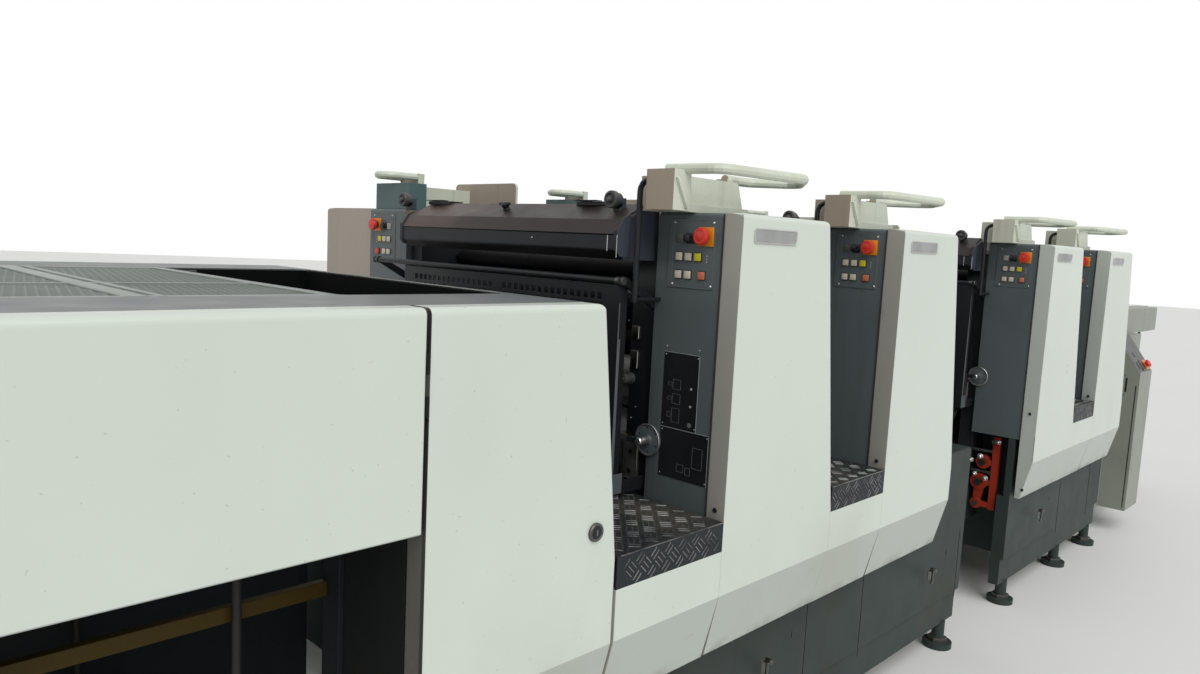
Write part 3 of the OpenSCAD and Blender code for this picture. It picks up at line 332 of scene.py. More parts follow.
RECIPES = {
    "cover": lambda: cover_enamel(colours().cover[:], (0.36, 0.33, 0.25)),
    "slate": lambda: enamel("slate enamel", colours().slate[:], (0.035, 0.038, 0.04), 0.36, 0.35),
    "cast": lambda: enamel("cast frame enamel", (0.016, 0.02, 0.023), (0.01, 0.008, 0.006), 0.45, 0.9, specular=0.2),
    "cabinet": lambda: enamel("cabinet enamel", (0.01, 0.013, 0.013), (0.02, 0.017, 0.013), 0.5, 0.5, specular=0.15),
    "inside": lambda: enamel("unlit inside", (0.0035, 0.004, 0.004), (0.008, 0.007, 0.006), 0.7, 0.5, specular=0.05),
    "duct": lambda: duct_enamel(),
    "black": lambda: enamel("black enamel", (0.01, 0.012, 0.014), OLD_INK, 0.36, 0.4, specular=0.3),
    "teal": lambda: enamel("base enamel", colours().base[:], (0.03, 0.028, 0.022), 0.48, 0.8, specular=0.2),
    "box": lambda: enamel("box enamel", (0.072, 0.127, 0.127), (0.03, 0.03, 0.025), 0.42, 0.5),
    # Cream, with painted shade in beige on its faces towards the delivery
    "cream": lambda: enamel("cream enamel", (0.63, 0.67, 0.56), (0.2, 0.16, 0.09), 0.36, 0.5,
                            delivery_side_shade=(0.36, 0.3, 0.235)),
    "slope_grey": lambda: enamel("console slope enamel", (0.095, 0.1, 0.09), (0.06, 0.055, 0.045), 0.42, 0.6),
    "red": lambda: enamel("linkage enamel", (0.34, 0.032, 0.014), (0.035, 0.013, 0.009), 0.42, 1.0, specular=0.3),
    "deck": lambda: enamel("deck enamel", (0.105, 0.118, 0.118), (0.26, 0.26, 0.245), 0.34, 0.3, specular=0.2),
    "yellow": lambda: enamel("yellow enamel", (0.06, 0.038, 0.005), (0.02, 0.014, 0.006), 0.5, 0.9, specular=0.15),
    # Painted shade: the feeder's enamel is set darker for the shade it stands in
    "feeder": lambda: enamel("feeder enamel", (0.26, 0.28, 0.235), (0.16, 0.15, 0.12), 0.4, 0.5),
    "steel": lambda: steel("roller steel"),
    "bright": lambda: steel("bright steel", (0.62, 0.62, 0.6), 0.28, 0.3, (1, 1, 1)),
    "rubber": lambda: rubber("roller rubber", (0.004, 0.004, 0.005)),
    "tread": lambda: tread_plate(),
    "tread_bar": lambda: tread_bar(),
    "wood": lambda: board_wood(),
    "mesh": lambda: enamel("mesh enamel", (0.13, 0.155, 0.135), (0.06, 0.06, 0.05), 0.4, 0.5, 0.0, specular=0.3),
    "mesh_bar": lambda: enamel("mesh frame enamel", (0.26, 0.29, 0.26), (0.1, 0.1, 0.09), 0.35, 0.5),
    "dark_steel": lambda: steel("dark steel", (0.13, 0.13, 0.125), 0.38, 0.5, (1, 1, 1)),
    "worn_steel": lambda: steel("worn steel", (0.55, 0.53, 0.49), 0.34, 0.6, (1, 1, 1)),
    "worn_edge": lambda: enamel("worn edge", (0.115, 0.135, 0.14), (0.03, 0.03, 0.03), 0.4, 0.9),
    "knob_grey": lambda: enamel("knob enamel", (0.06, 0.062, 0.06), (0.16, 0.15, 0.13), 0.42, 0.7),
    "bracket_ochre": lambda: enamel("bracket primer", (0.16, 0.13, 0.055), (0.04, 0.035, 0.03), 0.5, 0.8),
    "button_black": lambda: plastic("black plastic", (0.012, 0.012, 0.013), 0.3),
    "button_cream": lambda: plastic("cream button", (0.58, 0.52, 0.42)),
    "button_yellow": lambda: plastic("yellow button", (0.62, 0.55, 0.03)),
    "button_red": lambda: plastic("red button", (0.62, 0.035, 0.022), 0.3),
    "button_salmon": lambda: plastic("faded red button", (0.55, 0.16, 0.09)),
    "button_orange": lambda: plastic("orange plate", (0.72, 0.24, 0.01)),
    "square_dark": lambda: plastic("dim lamp", (0.075, 0.085, 0.07), 0.45),
    "square_light": lambda: plastic("pale lamp", (0.36, 0.36, 0.32), 0.4),
    "outline": lambda: plastic("engraved line", (0.13, 0.15, 0.15), 0.5),
    "outline_bright": lambda: plastic("bright engraved line", (0.36, 0.38, 0.38), 0.4),
    "outline_dark": lambda: plastic("joint shadow", (0.02, 0.022, 0.022), 0.7),
    "plate_black": lambda: plastic("black plate", (0.01, 0.011, 0.013), 0.32),
    "badge_face": lambda: steel("brushed badge", (0.46, 0.48, 0.47), 0.36, 0.3, (0.05, 1, 1)),
}


def duct_enamel():
    """The duct's black front, with its bare lid brown, partly its metal and partly a painted warm reflection, with
    dark patches of old ink, and painted shade underneath.
    """
    paint = Paint("duct enamel and lid", specular=0.3)
    front = grime(paint, (0.016, 0.018, 0.023), OLD_INK, 0.4)
    # The lid's brown on faces that look up is partly its metal and partly a painted warm reflection, lighter towards
    # the drive's side
    brown = paint.mix(paint.y.ease(-0.5, 0.45), (0.042, 0.034, 0.033), (0.15, 0.105, 0.088))
    lid = paint.mix(paint.noise(4, 5.0, (1, 0.35, 1)).ease(0.3, 0.75), brown, (0.03, 0.024, 0.022))
    mask = paint.facing(UP).ease(0.3, 0.45)
    # Painted shade: faces that look down are near black
    under = paint.facing(DOWN).ease(0.2, 0.5)
    front = paint.mix(paint.facing((0, 1, 0)).absolute().ease(0.7, 0.9), front, (0.048, 0.058, 0.076))
    paint.set("Base Color", paint.mix(under, paint.mix(mask, front, lid), (0.003, 0.003, 0.004)))
    paint.set("Metallic", mask * 0.25)
    paint.set("Roughness", paint.noise(16, 4.0) * 0.2 + 0.34)
    paint.relief(paint.noise(240, 2.0), 0.06, 0.0004, 0.003)
    return paint.material


def tread_plate():
    """Black tread plate with dust on its top."""
    paint = Paint("tread plate", specular=0.25)
    top = paint.facing(UP).ease(0.5, 0.9)
    dust = paint.noise(5, 6.0).ease(0.4, 0.7) * 0.35 + paint.noise(90, 3.0).ease(0.4, 0.7) * 0.25
    base = paint.mix(dust * top, (0.013, 0.017, 0.02), (0.125, 0.11, 0.082))
    paint.set("Base Color", base)
    paint.set("Roughness", paint.noise(24, 4.0) * 0.25 + 0.3)
    paint.relief(paint.noise(260, 3.0), 0.15, 0.0006, 0.001)
    return paint.material


def tread_bar():
    """The plate's bars: bare metal where soles rub them, most on the flat."""
    paint = Paint("tread bars", metallic=0.6, specular=0.4)
    worn = paint.noise(13, 4.0).ease(0.3, 0.62)
    base = paint.mix(worn, (0.03, 0.034, 0.036), (0.26, 0.27, 0.26))
    flat = paint.facing(UP).ease(0.5, 0.9)
    base = paint.mix(flat * 0.85, base, (0.045, 0.043, 0.038))
    paint.set("Metallic", 0.6 - flat * 0.6)
    paint.set("Base Color", base)
    paint.set("Roughness", paint.noise(40, 3.0) * 0.2 + flat * 0.15 + 0.28)
    paint.relief(paint.noise(400, 2.0), 0.1, 0.0003)
    return paint.material


def board_wood():
    paint = Paint("pile board", roughness=0.7)
    grain = paint.noise(6, 6.0, (0.5, 9, 3))
    boards = paint.y.wrap(0.12).ease(0.0, 0.003)
    base = paint.mix(grain, (0.3, 0.19, 0.09), (0.16, 0.095, 0.045))
    base = paint.mix(boards, (0.03, 0.02, 0.012), base)
    # The rods that carry the boards are oiled dark
    paint.set("Base Color", paint.mix(paint.z.ease(BOARD_TOP + 0.001, BOARD_TOP + 0.003), base, (0.012, 0.011, 0.01)))
    paint.set("Roughness", grain * 0.2 + 0.55)
    paint.relief(grain, 0.2, 0.001)
    return paint.material


# Modelling with bmesh

def finished(name, bm, finishes, body=BODY, smooth=True):
    """Makes a piece of a bmesh, with its finishes by name; faces' material indices count through them."""
    bmesh.ops.recalc_face_normals(bm, faces=bm.faces)
    mesh = bpy.data.meshes.new(name)
    if smooth:
        for face in bm.faces:
            face.smooth = True
        for edge in bm.edges:
            edge.smooth = edge.calc_face_angle(0) < CURVE_ANGLE
    bm.to_mesh(mesh)
    bm.free()
    piece = bpy.data.objects.new(name, mesh)
    bpy.context.scene.collection.objects.link(piece)
    for key in finishes:
        mesh.materials.append(finish(key))
    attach(piece, body)
    return piece


def faces_of(verts, material):
    """The faces around vertices, with their material's index set."""
    faces = {face for vert in verts for face in vert.link_faces}
    for face in faces:
        face.material_index = material
    return faces


def round_edges(bm, edges, width, segments=2):
    bmesh.ops.bevel(bm, geom=list(edges), offset=width, segments=segments, profile=0.5, affect="EDGES",
                    material=-1, clamp_overlap=True)


def stood(centre, direction, height=0.0):
    """The matrix that turns z along a direction, and puts the origin at a height over centre."""
    turn = direction.to_track_quat("Z", "Y").to_matrix().to_4x4()
    return Matrix.Translation(Vector(centre) + direction * height) @ turn


def add_block(bm, low_corner, high_corner, bevel=0.0, segments=2, material=0):
    """A box between two corners with bevelled edges; gives the vertices it starts from."""
    a = Vector(low_corner)
    b = Vector(high_corner)
    made = bmesh.ops.create_cube(bm, size=1.0)["verts"]
    bmesh.ops.scale(bm, vec=b - a, verts=made)
    bmesh.ops.translate(bm, vec=(a + b) / 2, verts=made)
    faces = faces_of(made, material)
    if bevel:
        round_edges(bm, {edge for face in faces for edge in face.edges}, bevel, segments)
    return made


def add_slab(bm, place, material=0):
    """A unit cube put in place by a matrix; gives its vertices."""
    made = bmesh.ops.create_cube(bm, size=1.0, matrix=place)["verts"]
    faces_of(made, material)
    return made


def add_disc(bm, centre, axis, radius, length, bevel=0.0, sides=24, material=0):
    """A round pin from centre along an axis vector, with its rims bevelled."""
    direction = Vector(axis).normalized()
    made = bmesh.ops.create_cone(bm, cap_ends=True, segments=sides, radius1=radius, radius2=radius, depth=length,
                                 matrix=stood(centre, direction, length / 2))["verts"]
    faces = faces_of(made, material)
    if bevel:
        round_edges(bm, {edge for face in faces if len(face.verts) > 4 for edge in face.edges}, bevel)


def add_ring(bm, centre, axis, profile, steps=28, material=0):
    """Spins a profile of (radius, height) points a full turn around an axis through centre."""
    direction = Vector(axis).normalized()
    place = stood(centre, direction)
    verts = [bm.verts.new(place @ Vector((radius, 0, height))) for radius, height in profile]
    edges = [bm.edges.new(pair) for pair in zip(verts, verts[1:])]
    made = bmesh.ops.spin(bm, geom=verts + edges, cent=Vector(centre), axis=direction, angle=math.tau,
                          steps=steps, use_merge=True, use_duplicate=False)
    faces = {face for item in made["geom_last"] if isinstance(item, bmesh.types.BMVert)
             for face in item.link_faces}
    ring = set(faces)
    while faces:
        faces = {other for face in faces for edge in face.edges for other in edge.link_faces} - ring
        ring |= faces
    for face in ring:
        face.material_index = material
    poles = [vert for vert in {v for face in ring for v in face.verts}
             if (vert.co - Vector(centre)).cross(direction).length < 1e-6]
    bmesh.ops.remove_doubles(bm, verts=poles, dist=1e-5)


def add_frame(bm, low_corner, high_corner, width, thickness, material=0):
    """A thin rectangular border lying on a plane across x."""
    a = Vector(low_corner)
    b = Vector(high_corner)
    b.x = a.x + thickness
    for across in (2, 1):
        for start in (a[across], b[across] - width):
            low_end = a.copy()
            high_end = b.copy()
            low_end[across] = start
            high_end[across] = start + width
            add_block(bm, low_end, high_end, material=material)


# Pieces

class PRESS_OT_push_buttons(Operator):
    """Fit the stop button, selector and push buttons on every housing"""
    bl_idname = "press.push_buttons"
    bl_label = "Push buttons"

    def execute(self, context):
        bm = bmesh.new()
        for _, edge in UNIT_EDGES:
            x = edge + PANEL_X
            for middle, side in ((PANEL_Y[0], 1), (PANEL_Y[1], -1)):
                self.panel(bm, x, middle, side)
        keys = ("button_black", "button_cream", "button_yellow", "button_red", "button_orange", "bright",
                "button_salmon", "outline", "square_dark", "square_light")
        piece = finished("push_button_panels", bm, keys)
        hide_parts("push_buttons")
        return {"FINISHED"}

    def panel(self, bm, x, middle, side):
        """One panel on the plane x; side is 1 where the stop button lies towards the operator."""
        def place(y, z):
            return middle - side * y, PANEL_TOP + z

        def square(y, z, half, depth, material, bevel=0.0012):
            py, pz = place(y, z)
            add_block(bm, (x - depth, py - half, pz - half), (x + 0.001, py + half, pz + half), bevel, 2, material)

        add_frame(bm, (x - 0.0006, middle - 0.071, PANEL_TOP - 0.186), (x, middle + 0.071, PANEL_TOP - 0.002),
                  0.0012, 0.0016, 7)
        for y in (-0.066, 0.066):
            for z in (-0.01, -0.178):
                py, pz = place(y, z)
                add_ring(bm, (x, py, pz), DELIVERY, PANEL_SCREW, 12, 5)
        stop = (0.043, -0.047)
        square(*stop, 0.0255, 0.003, 4)
        py, pz = place(*stop)
        add_ring(bm, (x - 0.003, py, pz), DELIVERY,
                 [(0.0135, 0), (0.0135, 0.006), (0.0115, 0.007), (0.0115, 0.013)])
        add_ring(bm, (x - 0.003, py, pz), DELIVERY,
                 [(0.011, 0.011), (0.021, 0.0125), (0.0232, 0.015), (0.0232, 0.023), (0.0222, 0.026), (0.018, 0.0275),
                  (0.016, 0.0269), (0.013, 0.0275), (0.006, 0.029), (0, 0.0292)], 32, 3)
        square(-0.009, -0.052, 0.0145, 0.004, 0)
        square(-0.012, -0.052, 0.01, 0.017, 0, 0.002)
        square(-0.044, -0.052, 0.0115, 0.0045, 8 if side > 0 and x < 0 else 9)
        for row, shades in ((-0.102, (1, 1, 2)), (-0.151, (1, 1, 6 if side > 0 else 3))):
            for column, shade in enumerate(shades):
                # The lower row's last button stands apart
                y = -0.044 + column * 0.032 + (0.016 if row < -0.12 and column == 2 else 0)
                square(y, row, 0.0125, 0.0022, 0, 0.001)
                square(y, row, 0.0105, 0.0065, shade, 0.0016)
        for index in range(3):
            py, pz = place(0.049, -0.098 - index * 0.008)
            add_disc(bm, (x, py, pz), DELIVERY, 0.0016, 0.0014, sides=10, material=1)


class PRESS_OT_badge_plates(Operator):
    """Fix a bare raised plate high on every operator's cover"""
    bl_idname = "press.badge_plates"
    bl_label = "Badge plates"

    def execute(self, context):
        bm = bmesh.new()
        for _, x in UNIT_EDGES:
            a = Vector((x + 0.05, COVER_Y - 0.0035, 1.68))
            b = Vector((x + 0.252, COVER_Y + 0.001, 1.719))
            edges = {edge for vert in add_block(bm, a, b) for edge in vert.link_edges}
            upright = [edge for edge in edges if abs((edge.verts[0].co - edge.verts[1].co).y) > 0.001]
            round_edges(bm, upright, 0.007, 4)
            front = [face for face in bm.faces if abs(face.calc_center_median().y - a.y) < 1e-5
                     and a.x < face.calc_center_median().x < b.x and len(face.verts) > 4]
            bmesh.ops.inset_region(bm, faces=front, thickness=0.0028, depth=0.0)
            bmesh.ops.inset_region(bm, faces=front, thickness=0.0008, depth=-0.0014)
            for face in front:
                face.material_index = 1
        finished("badge_plates", bm, ("bright", "badge_face"))
        return {"FINISHED"}


class PRESS_OT_cover_fittings(Operator):
    """Fit the covers' round locks, the base's latches and the joints between the base's plates"""
    bl_idname = "press.cover_fittings"
    bl_label = "Cover locks and latches"

    def execute(self, context):
        bm = bmesh.new()
        slant = Vector((-0.07, 0.015, 0)).normalized()
        for number, x in UNIT_EDGES:
            # Only the second unit has a lower lock
            for z in (0.967, 0.602) if number == 2 else (0.967,):
                add_ring(bm, (x + 0.0078, COVER_Y + 0.036, z), (slant.x, -slant.y, 0),
                         [(0, 0.003), (0.004, 0.003), (0.0052, 0.0042), (0.0066, 0.0036), (0.0072, 0)], 18)
        base_y = low("delivery_section_bed")[1]
        for x in (-1.245, -0.077, 1.201):
            # Latch: a bent handle under its round knob, on a small plate
            add_block(bm, (x - 0.016, base_y - 0.003, 0.388), (x + 0.014, base_y + 0.001, 0.434), 0.0015, 1, 1)
            add_disc(bm, (x + 0.01, base_y, 0.428), OPERATOR, 0.0085, 0.024, 0.002, 16, 1)
            for left, right, z0, z1 in ((-0.013, -0.003, 0.384, 0.43), (-0.02, -0.003, 0.378, 0.39),
                                        (-0.013, 0.012, 0.422, 0.432)):
                add_block(bm, (x + left, base_y - 0.022, z0), (x + right, base_y - 0.014, z1), 0.003, 2, 1)
            add_block(bm, (x + 0.15, base_y - 0.0008, 0.455), (x + 0.156, base_y + 0.001, 0.475))
        for x in SEAMS_X:
            add_block(bm, (x - 0.0016, base_y - 0.0008, 0.245), (x + 0.0016, base_y + 0.001, 0.548))
        finished("cover_fittings", bm, ("black", "dark_steel"))
        return {"FINISHED"}


class PRESS_OT_door_lock(Operator):
    """Fit the round key lock on the cabinet's door"""
    bl_idname = "press.door_lock"
    bl_label = "Door lock"

    def execute(self, context):
        bm = bmesh.new()
        centre = (high("cabinet_door")[0] - 0.069, COVER_Y, 1.021)
        add_ring(bm, centre, OPERATOR,
                 [(0.0215, 0), (0.0215, 0.005), (0.02, 0.0072), (0.018, 0.0078), (0.016, 0.0068), (0.015, 0.0062)],
                 40, 1)
        add_ring(bm, centre, OPERATOR, [(0, 0.0074), (0.0085, 0.0074), (0.015, 0.0064)], 40)
        x, y, z = centre
        add_block(bm, (x - 0.0016, y - 0.0082, z - 0.007), (x + 0.0016, y - 0.007, z + 0.007), material=2)
        finished("door_lock", bm, ("black", "dark_steel", "outline"), DOOR)
        return {"FINISHED"}


class PRESS_OT_label_plates(Operator):
    """Fix two black plates without lettering on the last unit's housing, with their screws"""
    bl_idname = "press.label_plates"
    bl_label = "Black plates"

    def execute(self, context):
        bm = bmesh.new()
        x = unit_x(4) + 0.015
        for y0, y1, z0, z1 in ((-0.958, -0.833, 1.16, 1.371), (-1.004, -0.833, 1.018, 1.159)):
            add_block(bm, (x - 0.0012, y0, z0), (x + 0.0005, y1, z1))
            for a, b in (((y0, z0), (y0 + 0.0016, z1)), ((y0, z1 - 0.0012), (y1, z1))):
                add_block(bm, (x - 0.0018, a[0], a[1]), (x - 0.001, b[0], b[1]), material=1)
            for y in (y0 + 0.006, y1 - 0.006):
                for z in (z0 + 0.008, z1 - 0.008):
                    add_ring(bm, (x - 0.0012, y, z), DELIVERY, CORNER_SCREW, 10, 1)
        # Plain outlines and dots where the plate has its drawings; screws above it
        line, proud = 0.0008, 0.0006
        for top, tall, dot, size in ((1.296, 0.028, 1.277, 0.0036), (1.256, 0.028, 1.228, 0.0036),
                                     (1.216, 0.04, 1.176, 0.0068)):
            add_frame(bm, (x - 0.0016, -0.897, top - tall), (x - 0.001, -0.869, top), line, proud, 2)
            add_frame(bm, (x - 0.0016, -0.866, top - tall * 0.68), (x - 0.001, -0.853, top - tall * 0.32),
                      line, proud, 2)
            add_disc(bm, (x - 0.001, -0.934, dot), DELIVERY, size, 0.001, sides=16, material=2 if size > 0.005 else 1)
        for y0, y1, z0, z1 in ((-0.922, -0.898, 1.04, 1.062), (-0.946, -0.928, 1.036, 1.058),
                               (-0.985, -0.95, 1.06, 1.118)):
            add_frame(bm, (x - 0.0016, y0, z0), (x - 0.001, y1, z1), line, proud, 2)
        for y in (-0.84, -0.954):
            add_ring(bm, (x, y, 1.386), DELIVERY, PLATE_SCREW, 10, 1)
        finished("label_plates", bm, ("plate_black", "outline_bright", "outline"))
        return {"FINISHED"}


class PRESS_OT_treads(Operator):
    """Raise the bars of the tread plate on the footboards and their risers"""
    bl_idname = "press.treads"
    bl_label = "Tread bars"

    def execute(self, context):
        bm = bmesh.new()
        cell = sizes().tread_cell
        half = abs(COVER_Y)
        # Half the height of the plate's fold
        fold = 0.042
        for number in (4, 3, 1):
            x1 = unit_x(number) - 0.003
            x0 = unit_x(number) - (0.396 if number == 4 else 0.348)
            middle = (x0 + x1) / 2
            self.lattice(bm, Vector((middle, 0, FOOT_Z)), Vector((1, 0, 0)), Vector((0, 1, 0)),
                         (x1 - x0) / 2, half, cell)
            for side in (-1, 1):
                self.lattice(bm, Vector((middle, side * half, FOOT_Z - fold)), Vector((1, 0, 0)),
                             Vector((0, 0, -side)), (x1 - x0) / 2, fold, cell * 0.84)
            # Rubbed edge of the bend
            for y in (-half, half):
                add_block(bm, (x0 + 0.002, y - 0.0016, FOOT_Z - 0.0022),
                          (x1 - 0.002, y + 0.0016, FOOT_Z + 0.0008), 0.0008, 1)
        finished("tread_bars", bm, ("tread_bar",), smooth=False)
        return {"FINISHED"}

    def lattice(self, bm, middle, along, across, reach, spread, cell):
        """Squares of three bars on a face, laid corner to corner and turned by turns."""
        out = along.cross(across)
        first = (along + across).normalized()
        second = out.cross(first)
        count = math.ceil((reach + spread) / cell)
        for i in range(-count, count + 1):
            for j in range(-count, count + 1):
                bar, step = (first, second) if (i + j) % 2 else (second, first)
                turn = Matrix((bar, out.cross(bar), out)).transposed().to_4x4()
                for offset in (-BAR_STEP, 0.0, BAR_STEP):
                    spot = (first * i + second * j + step * offset) * cell
                    if abs(spot.dot(along)) > reach - 0.014 or abs(spot.dot(across)) > spread - 0.012:
                        continue
                    place = Matrix.Translation(middle + spot + out * 0.0006) @ turn
                    shape = (Matrix.Diagonal((cell * BAR_LENGTH, cell * BAR_WIDTH, BAR_HEIGHT, 1))
                             @ Matrix.Rotation(math.radians(45), 4, "Z"))
                    bmesh.ops.create_cone(bm, cap_ends=True, segments=4, radius1=0.7071, radius2=0.5, depth=1,
                                          matrix=place @ shape)


class PRESS_OT_delivery_mesh(Operator):
    """Stretch expanded metal over the delivery's chains, in a frame of flat bars"""
    bl_idname = "press.delivery_mesh"
    bl_label = "Expanded mesh"

    def execute(self, context):
        a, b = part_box("delivery_mesh_guard")
        pitch = sizes().mesh_strand
        step = pitch * 5
        bm = bmesh.new()
        columns = int((b[0] - a[0] - 0.03) / pitch)
        steps = int((b[1] - a[1] - 0.03) / step)
        for column in range(columns):
            x = a[0] + 0.016 + (column + 0.5) * pitch
            made = bmesh.ops.create_grid(bm, x_segments=1, y_segments=steps, size=0.5)["verts"]
            length = steps * step
            bmesh.ops.scale(bm, vec=(pitch * 0.44, length, 1), verts=made)
            for vert in made:
                place = round((vert.co.y + length / 2) / step)
                right = vert.co.x > 0
                vert.co.x += pitch * 0.32 * (1 if (place + column) % 2 else -1)
                vert.co.z = 0.0013 if right else -0.0013
            bmesh.ops.translate(bm, vec=(x, (a[1] + b[1]) / 2, b[2] - 0.004), verts=made)
        lattice = finished("mesh_lattice", bm, ("mesh",), smooth=False)
        wall = lattice.modifiers.new("sheet", "SOLIDIFY")
        wall.thickness = 0.0012
        wall.offset = 0

        bm = bmesh.new()
        for y0, y1 in ((a[1], a[1] + MESH_BAR), (-0.412, -0.398), (b[1] - MESH_BAR, b[1])):
            add_block(bm, (a[0], y0, b[2] - MESH_BAR_T), (b[0], y1, b[2]), 0.0012)
        # Two panels meet on a pair of bars
        for x0, x1 in ((a[0], a[0] + MESH_BAR), (-2.928, -2.888), (-2.872, -2.858), (b[0] - 0.014, b[0])):
            add_block(bm, (x0, a[1], b[2] - MESH_BAR_T), (x1, b[1], b[2] + 0.0006), 0.0012)
        # Painted shade: a near-black sheet under the mesh darkens what shows through it
        add_block(bm, (a[0] + 0.002, a[1] + 0.002, b[2] - 0.016),
                  (b[0] - 0.002, b[1] - 0.002, b[2] - 0.012), material=1)
        rim = finished("mesh_frame", bm, ("mesh_bar", "inside"))
        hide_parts("delivery_mesh_guard")
        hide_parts("delivery_mesh_guard")
        return {"FINISHED"}


class PRESS_OT_well_lining(Operator):
    """Hang near-black skirts inside the deck's well as painted shade, and lay bright strips on its upper edges as a
    painted highlight
    """
    bl_idname = "press.well_lining"
    bl_label = "Well lining"

    def execute(self, context):
        bm = bmesh.new()
        y0, y1 = low("delivery_mesh_guard")[1], high("delivery_mesh_guard")[1]
        x0, x1 = high("delivery_mesh_guard")[0] + 0.02, high("delivery_deck")[0] - 0.026
        top = high("delivery_deck")[2]
        skirt, gap, post = 0.006, 0.0005, 0.0135
        # Painted shade: near-black skirts and corner posts darken the well
        for a, b in (((x0, y1 - skirt), (x1, y1 - gap)), ((x0, y0 + gap), (x1, y0 + skirt)),
                     ((x1 - skirt, y0), (x1 - gap, y1)), ((x0 - 0.001, y0), (x0 + 0.002, y1)),
                     ((x1 - post, y1 - post), (x1, y1)), ((x1 - post, y0), (x1, y0 + post)),
                     ((x0, y1 - post), (x0 + post, y1)), ((x0, y0), (x0 + post, y0 + post))):
            add_block(bm, (*a, top - 0.1), (*b, top - 0.0035))
        # Painted highlight: thin bright strips along the well's far and end edges
        for a, b in (((x0 + 0.03, y1), (x1 - 0.03, y1 + 0.003)), ((x1, y0 + 0.03), (x1 + 0.003, y1 - 0.03))):
            add_block(bm, (*a, top - 0.001), (*b, top + 0.0008), material=1)
        # Squared bracket with a round hole at the far corner
        x, y = x0 + 0.016, y1 - 0.007
        add_block(bm, (x, y - 0.003, top - 0.06), (x + 0.075, y, top - 0.006), 0.001, 1, 2)
        add_disc(bm, (x + 0.045, y - 0.0028, top - 0.038), OPERATOR, 0.008, 0.0008, sides=16)
        finished("well_lining", bm, ("inside", "worn_steel", "knob_grey"))
        return {"FINISHED"}


class PRESS_OT_duct_fittings(Operator):
    """Fit the winged knob, shields, bright strips and end hubs of the ink ducts"""
    bl_idname = "press.duct_fittings"
    bl_label = "Ink duct fittings"

    def execute(self, context):
        bm = bmesh.new()
        for number, x in UNIT_EDGES:
            front, end, _ = low(f"unit_{number}_ink_duct")
            top = DUCT_TOP
            # Winged knob in the middle of the lid
            add_ring(bm, (x - 0.052, -0.195, top - 0.022), (-0.4, 0, 0.9),
                     [(0.011, 0), (0.012, 0.004), (0.01, 0.01), (0.0125, 0.014), (0.0125, 0.022),
                      (0.009, 0.026), (0, 0.027)], 20)
            add_block(bm, (x - 0.066, -0.222, top - 0.006), (x - 0.058, -0.168, top + 0.004), 0.003)
            # Shields behind the lid's back edge
            for y0, y1 in ((-0.6, -0.478), (0.168, 0.3)):
                add_block(bm, (x - 0.016, y0, top - 0.002), (x + 0.04, y1, top + 0.01), 0.0008, 1)
                add_block(bm, (x - 0.04, y0 + 0.018, top + 0.0105), (x - 0.01, y1 - 0.018, top + 0.013), 0.0008, 1)
            # Bright strip between the front and its end section, and a small screw
            add_block(bm, (front + 0.0034, -0.7265, DUCT_LOW + 0.022), (front + 0.005, -0.7235, DUCT_LOW + 0.066),
                      0.0004, 1, 1)
            add_ring(bm, (front + 0.004, -0.41, DUCT_LOW + 0.05), DELIVERY,
                     [(0, 0.002), (0.002, 0.0016), (0.003, 0)], 12, 1)
            # Hubs and knurled rims of the end knobs
            for y in (-0.677, 0.382):
                centre = (x - 0.058, y, top + 0.012)
                add_ring(bm, centre, DELIVERY,
                         [(0.0235, 0), (0.025, 0.003), (0.025, 0.016), (0.0232, 0.019), (0.017, 0.019),
                          (0.015, 0.015), (0.01, 0.015), (0.0085, 0.024), (0.004, 0.025), (0, 0.025)], 30, 2)
                add_ring(bm, (x - 0.0765, y, top + 0.012), DELIVERY,
                         [(0.006, 0), (0.0056, 0.0085), (0, 0.009)], 14, 4)
                add_block(bm, (x - 0.052, y - 0.02, top - 0.04), (x - 0.02, y + 0.02, top - 0.026), 0.003, 2, 3)
            # Rubbed front edge of the end plate
            add_block(bm, (front - 0.0006, end - 0.0004, DUCT_LOW + 0.006),
                      (front + 0.0022, end + 0.0016, DUCT_LOW + 0.066), 0.0006, 1, 1)
        keys = ("black", "bright", "knob_grey", "bracket_ochre", "dark_steel")
        finished("duct_fittings", bm, keys)
        return {"FINISHED"}


